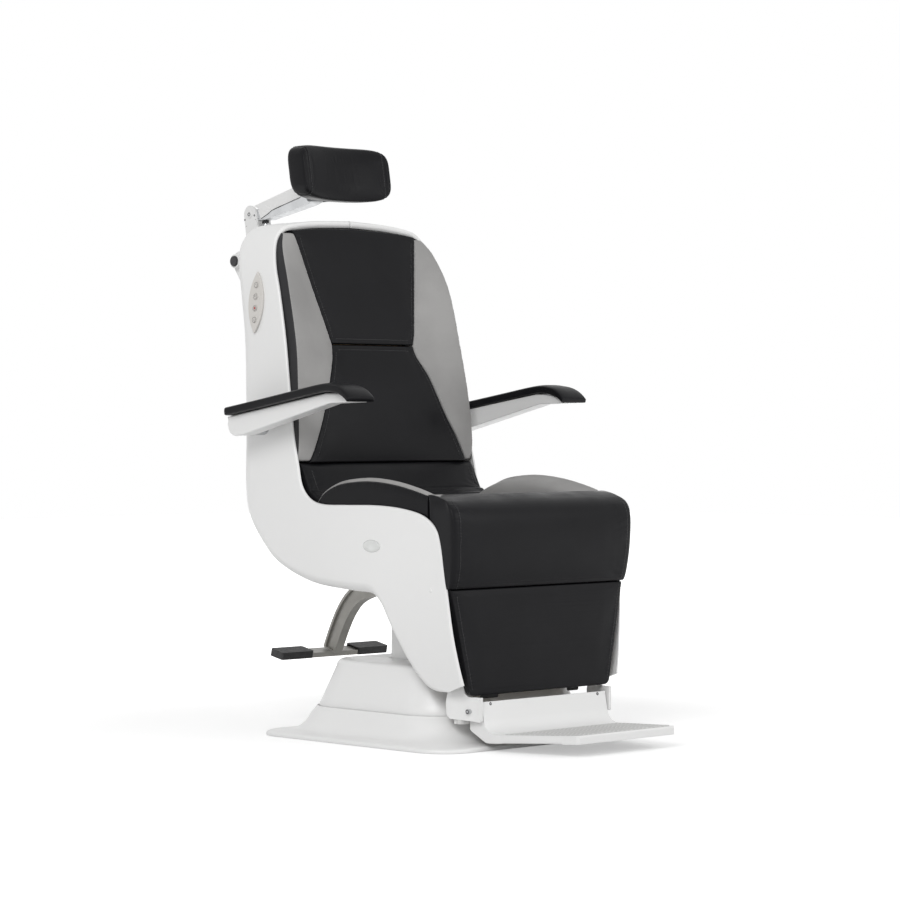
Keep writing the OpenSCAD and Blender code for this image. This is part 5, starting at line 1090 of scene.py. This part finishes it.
def head_pad():
    """Headrest pad: slabs side by side along x, wrapping forward at both ends by wrap t^2, ends closed round, deeper
    at mid width and leaning back; a sewn seam rings the pad where each side panel starts."""
    rows, cols = 150, 110
    t, full = drawn_in(rows, 6, 0.003)
    t = 2 * t - 1
    width, height, thick, wrap = 0.266, 0.121, 0.058, 0.021
    face_y, middle_z = 0.341, 1.259
    x, forward = t * width / 2, -wrap * t**2
    origin = rows_of(x, face_y + thick + forward * 0.7 - (1 - full) * 0.012, middle_z - height / 2 * full)
    grid = pad_rings(origin, rows_of(0, 0, height * full),
                     rows_of(0, -thick * (0.55 + 0.45 * full) + forward * 0.3, 0), 0.0, 5, cols)
    rise = (grid[..., 2] - middle_z) / height
    grid[..., 2] += (1 - t[:, None] ** 2) * (-0.0035 + 0.004 * rise)
    grid[..., 1] += 0.020 * rise
    seams = []
    middle = grid.mean(1, keepdims=True)
    for seam_x, beside in ((-0.1175, -0.113), (0.1175, 0.113)):
        bell = np.exp(-((x - seam_x) / 0.0014) ** 2)[:, None, None]
        grid = grid + unit(middle - grid) * 0.0016 * bell
        rounds = [grid[np.abs(x - spot).argmin()] for spot in (seam_x, beside)]
        seams.append(tuple(np.vstack([ring, ring[:1]]) for ring in rounds))
    return padding("headrest_pad_piece", grid, "headrest_pad", [black_leather],
                   lambda points, normals: ((np.abs(points[:, 0]) < 0.108) & (normals[:, 1] < -0.7)) * 1.0, 0.003,
                   seams, node="headrest_pad")


head_pad()
# Two lugs and a pin hang the pad on the arm's nose
around = np.radians(np.linspace(-90, 90, 13))
eye = np.stack([0.437 + 0.009 * np.cos(around), 1.206 + 0.009 * np.sin(around)], -1)
lug = np.vstack([[[0.382, 1.262], [0.380, 1.197]], eye, [[0.394, 1.262]]])
for side, hand in hands:
    prism(hand + "_pad_lug", lug, side * 0.0170, side * 0.0210, "headrest_pad", painted_steel)
pad_pin = [(0.0002, 0), (0.0048, 0), (0.0052, 0.0005), (0.0052, 0.0014), (0.0037, 0.0016), (0.0037, 0.0434),
           (0.0052, 0.0436), (0.0052, 0.0445), (0.0048, 0.045), (0.0002, 0.045)]
turned("pad_pin", (-0.0225, 0.437, 1.206), (1, 0, 0), pad_pin, "headrest_pad", screw_steel, 20)

# ---------------------------------------------------------------- footrest
# One bent white plate with side cheeks and turned-down rims, hinged on two slanted brackets, with a ribbed grey mat.
# Two screws hold the kick panel, and two black buffers hang behind it under the calf board.

buffer = [(-0.2680, 0.1235), (-0.2680, 0.1165), (-0.2590, 0.1165), (-0.2575, 0.1060), (-0.2555, 0.1035),
          (-0.2520, 0.1045), (-0.2505, 0.1235)]
for side, hand in hands:
    turned(hand + "_kick_screw", (side * 0.1645, -0.3000, 0.0975), (0, -1, 0.12), screw_head, "footrest", screw_steel)
    turned(hand + "_hinge_screw", (side * 0.2117, -0.278, 0.082), (side, 0, 0),
           [(r * 1.5, d) for r, d in screw_head], "seat", screw_steel)
    middle, half = (-0.1235, 0.0255) if side < 0 else (0.1335, 0.0160)
    prism(hand + "_buffer", buffer, middle - half, middle + half, "seat", rubber, 0.0015)

# Side rims: from the cheeks to the front edge along the tread's taper, 4 mm thick
y, low, high = np.array([[-0.3450, -0.5030], [0.0188, 0.0279], [0.0360, 0.0405]])
taper_start, taper, rim_wall = -0.330, 39 / 204, 0.004
for side, hand in hands:
    outer_x = side * (0.1899 - (taper_start - y) * taper)
    inner_x = outer_x - side * rim_wall
    ring = [np.stack([x, y, z], -1) for x, z in ((outer_x, low), (outer_x, high), (inner_x, high), (inner_x, low))]
    rim = surface(hand + "_tread_rim", np.stack(ring, 1), "footrest", white_coat, zip_ends=True)
    bevel = rim.modifiers.new("edge", "BEVEL")
    bevel.width, bevel.segments = 0.0008, 2
soften("footrest", 0.003, white_coat)
soften("hinge_brackets", 0.0015, white_coat)
mat_rubber, tree, shader, place = finish_material("mat_rubber", (0.66, 0.66, 0.65), 0.65)
# Chevrons: sin(2 pi (y + 0.5 |x|) / pitch), so that the ribs meet in arrows along the middle
parts = tree.nodes.new("ShaderNodeSeparateXYZ")
tree.links.new(place.outputs["Object"], parts.inputs[0])
folded = step_of(tree, "PINGPONG", parts.outputs["X"], 0.045)
slant = step_of(tree, "ADD", parts.outputs["Y"], step_of(tree, "MULTIPLY", folded, 0.8))
rib_pitch = 0.011
ribs_and_groove_shade = step_of(tree, "SINE", step_of(tree, "MULTIPLY", slant, 2 * np.pi / rib_pitch))
# The ribs also set the mat's colour: painted shade in the grooves and painted highlight on the crests
vary(tree, shader, "Base Color", ribs_and_groove_shade, (0.62, 0.62, 0.61), (0.72, 0.72, 0.71), 0.0, 1.0)
emboss(tree, shader, [ribs_and_groove_shade, noise(tree, place, 500.0, 2.0)], 0.4, 0.0007)
soften("footrest_mat", 0.0008, mat_rubber)
soften("bump_stops", 0.0015, mat_rubber)

# ---------------------------------------------------------------- studio
# Plain white floor and surround, a soft key lamp at the left and a softer one in front, camera as in the photograph.


def white_rays(tree):
    """1 for rays that come straight from the camera, off a glossy surface or through glass, else 0."""
    rays = tree.nodes.new("ShaderNodeLightPath")
    total = rays.outputs["Is Camera Ray"]
    for kind in ("Is Glossy Ray", "Is Transmission Ray"):
        total = step_of(tree, "ADD", total, rays.outputs[kind], clamp=True)
    return total


world = bpy.data.worlds.new("studio")
bpy.context.scene.world = world
world.use_nodes = True
tree = world.node_tree
tree.nodes.clear()
out = tree.nodes.new("ShaderNodeOutputWorld")
mix = tree.nodes.new("ShaderNodeMixShader")
tree.links.new(white_rays(tree), mix.inputs["Fac"])
for socket, strength in ((1, 0.56), (2, 1.0)):
    white = tree.nodes.new("ShaderNodeBackground")
    white.inputs["Color"].default_value = (1, 1, 1, 1)
    white.inputs["Strength"].default_value = strength
    tree.links.new(white.outputs[0], mix.inputs[socket])
tree.links.new(mix.outputs[0], out.inputs["Surface"])

floor_mesh = bpy.data.meshes.new("floor")
reach = 12.0
corners = [(-reach, -reach, 0), (reach, -reach, 0), (reach, reach, 0), (-reach, reach, 0)]
floor_mesh.from_pydata(corners, [], [(0, 1, 2, 3)])
floor = bpy.data.objects.new("floor", floor_mesh)
bpy.context.scene.collection.objects.link(floor)
floor.location.z = -0.0003
floor_white = bpy.data.materials.new("floor_white")
floor_white.use_nodes = True
tree = floor_white.node_tree
shader = tree.nodes["Principled BSDF"]
shader.inputs["Base Color"].default_value = (0.78, 0.78, 0.78, 1)
shader.inputs["Roughness"].default_value = 0.6
shader.inputs["Specular IOR Level"].default_value = 0.1
glow = tree.nodes.new("ShaderNodeEmission")
glow.inputs["Color"].default_value = (1, 1, 1, 1)
spot = tree.nodes.new("ShaderNodeTexCoord")
span = tree.nodes.new("ShaderNodeVectorMath")
span.operation = "LENGTH"
tree.links.new(spot.outputs["Object"], span.inputs[0])
fade = tree.nodes.new("ShaderNodeMapRange")
fade.interpolation_type = "SMOOTHSTEP"
for socket, value in (("From Min", 0.7), ("From Max", 2.2), ("To Min", 0.38), ("To Max", 1.0)):
    fade.inputs[socket].default_value = value
tree.links.new(span.outputs["Value"], fade.inputs["Value"])
glow_light = step_of(tree, "MULTIPLY", white_rays(tree), fade.outputs["Result"])
tree.links.new(glow_light, glow.inputs["Strength"])
both = tree.nodes.new("ShaderNodeAddShader")
tree.links.new(shader.outputs[0], both.inputs[0])
tree.links.new(glow.outputs[0], both.inputs[1])
tree.links.new(both.outputs[0], tree.nodes["Material Output"].inputs["Surface"])
floor_mesh.materials.append(floor_white)


def soft_lamp(name, place, target, size, power):
    """Round area lamp at a place, turned to its target."""
    light = bpy.data.lights.new(name, "AREA")
    light.shape, light.size, light.energy = "DISK", size, power
    lamp = bpy.data.objects.new(name, light)
    bpy.context.scene.collection.objects.link(lamp)
    lamp.location = place
    lamp.rotation_euler = (Vector(target) - Vector(place)).to_track_quat("-Z", "Y").to_euler()


soft_lamp("key", (-3.3, -2.0, 2.9), (0, 0, 0.6), 2.2, 80)
soft_lamp("front", (1.8, -3.8, 1.9), (0, 0, 0.7), 2.4, 36)

camera_data = bpy.data.cameras.new("camera")
camera_data.lens, camera_data.sensor_width = 121.1, 36.0
camera_data.clip_end = 60
camera = bpy.data.objects.new("camera", camera_data)
bpy.context.scene.collection.objects.link(camera)
camera.location = (-4.6587, -4.7989, 0.7005)
camera.rotation_euler = Euler((np.radians(90 - 0.628), 0, np.radians(-44.202)))
bpy.context.scene.camera = camera
bpy.context.scene.view_settings.view_transform = "Standard"
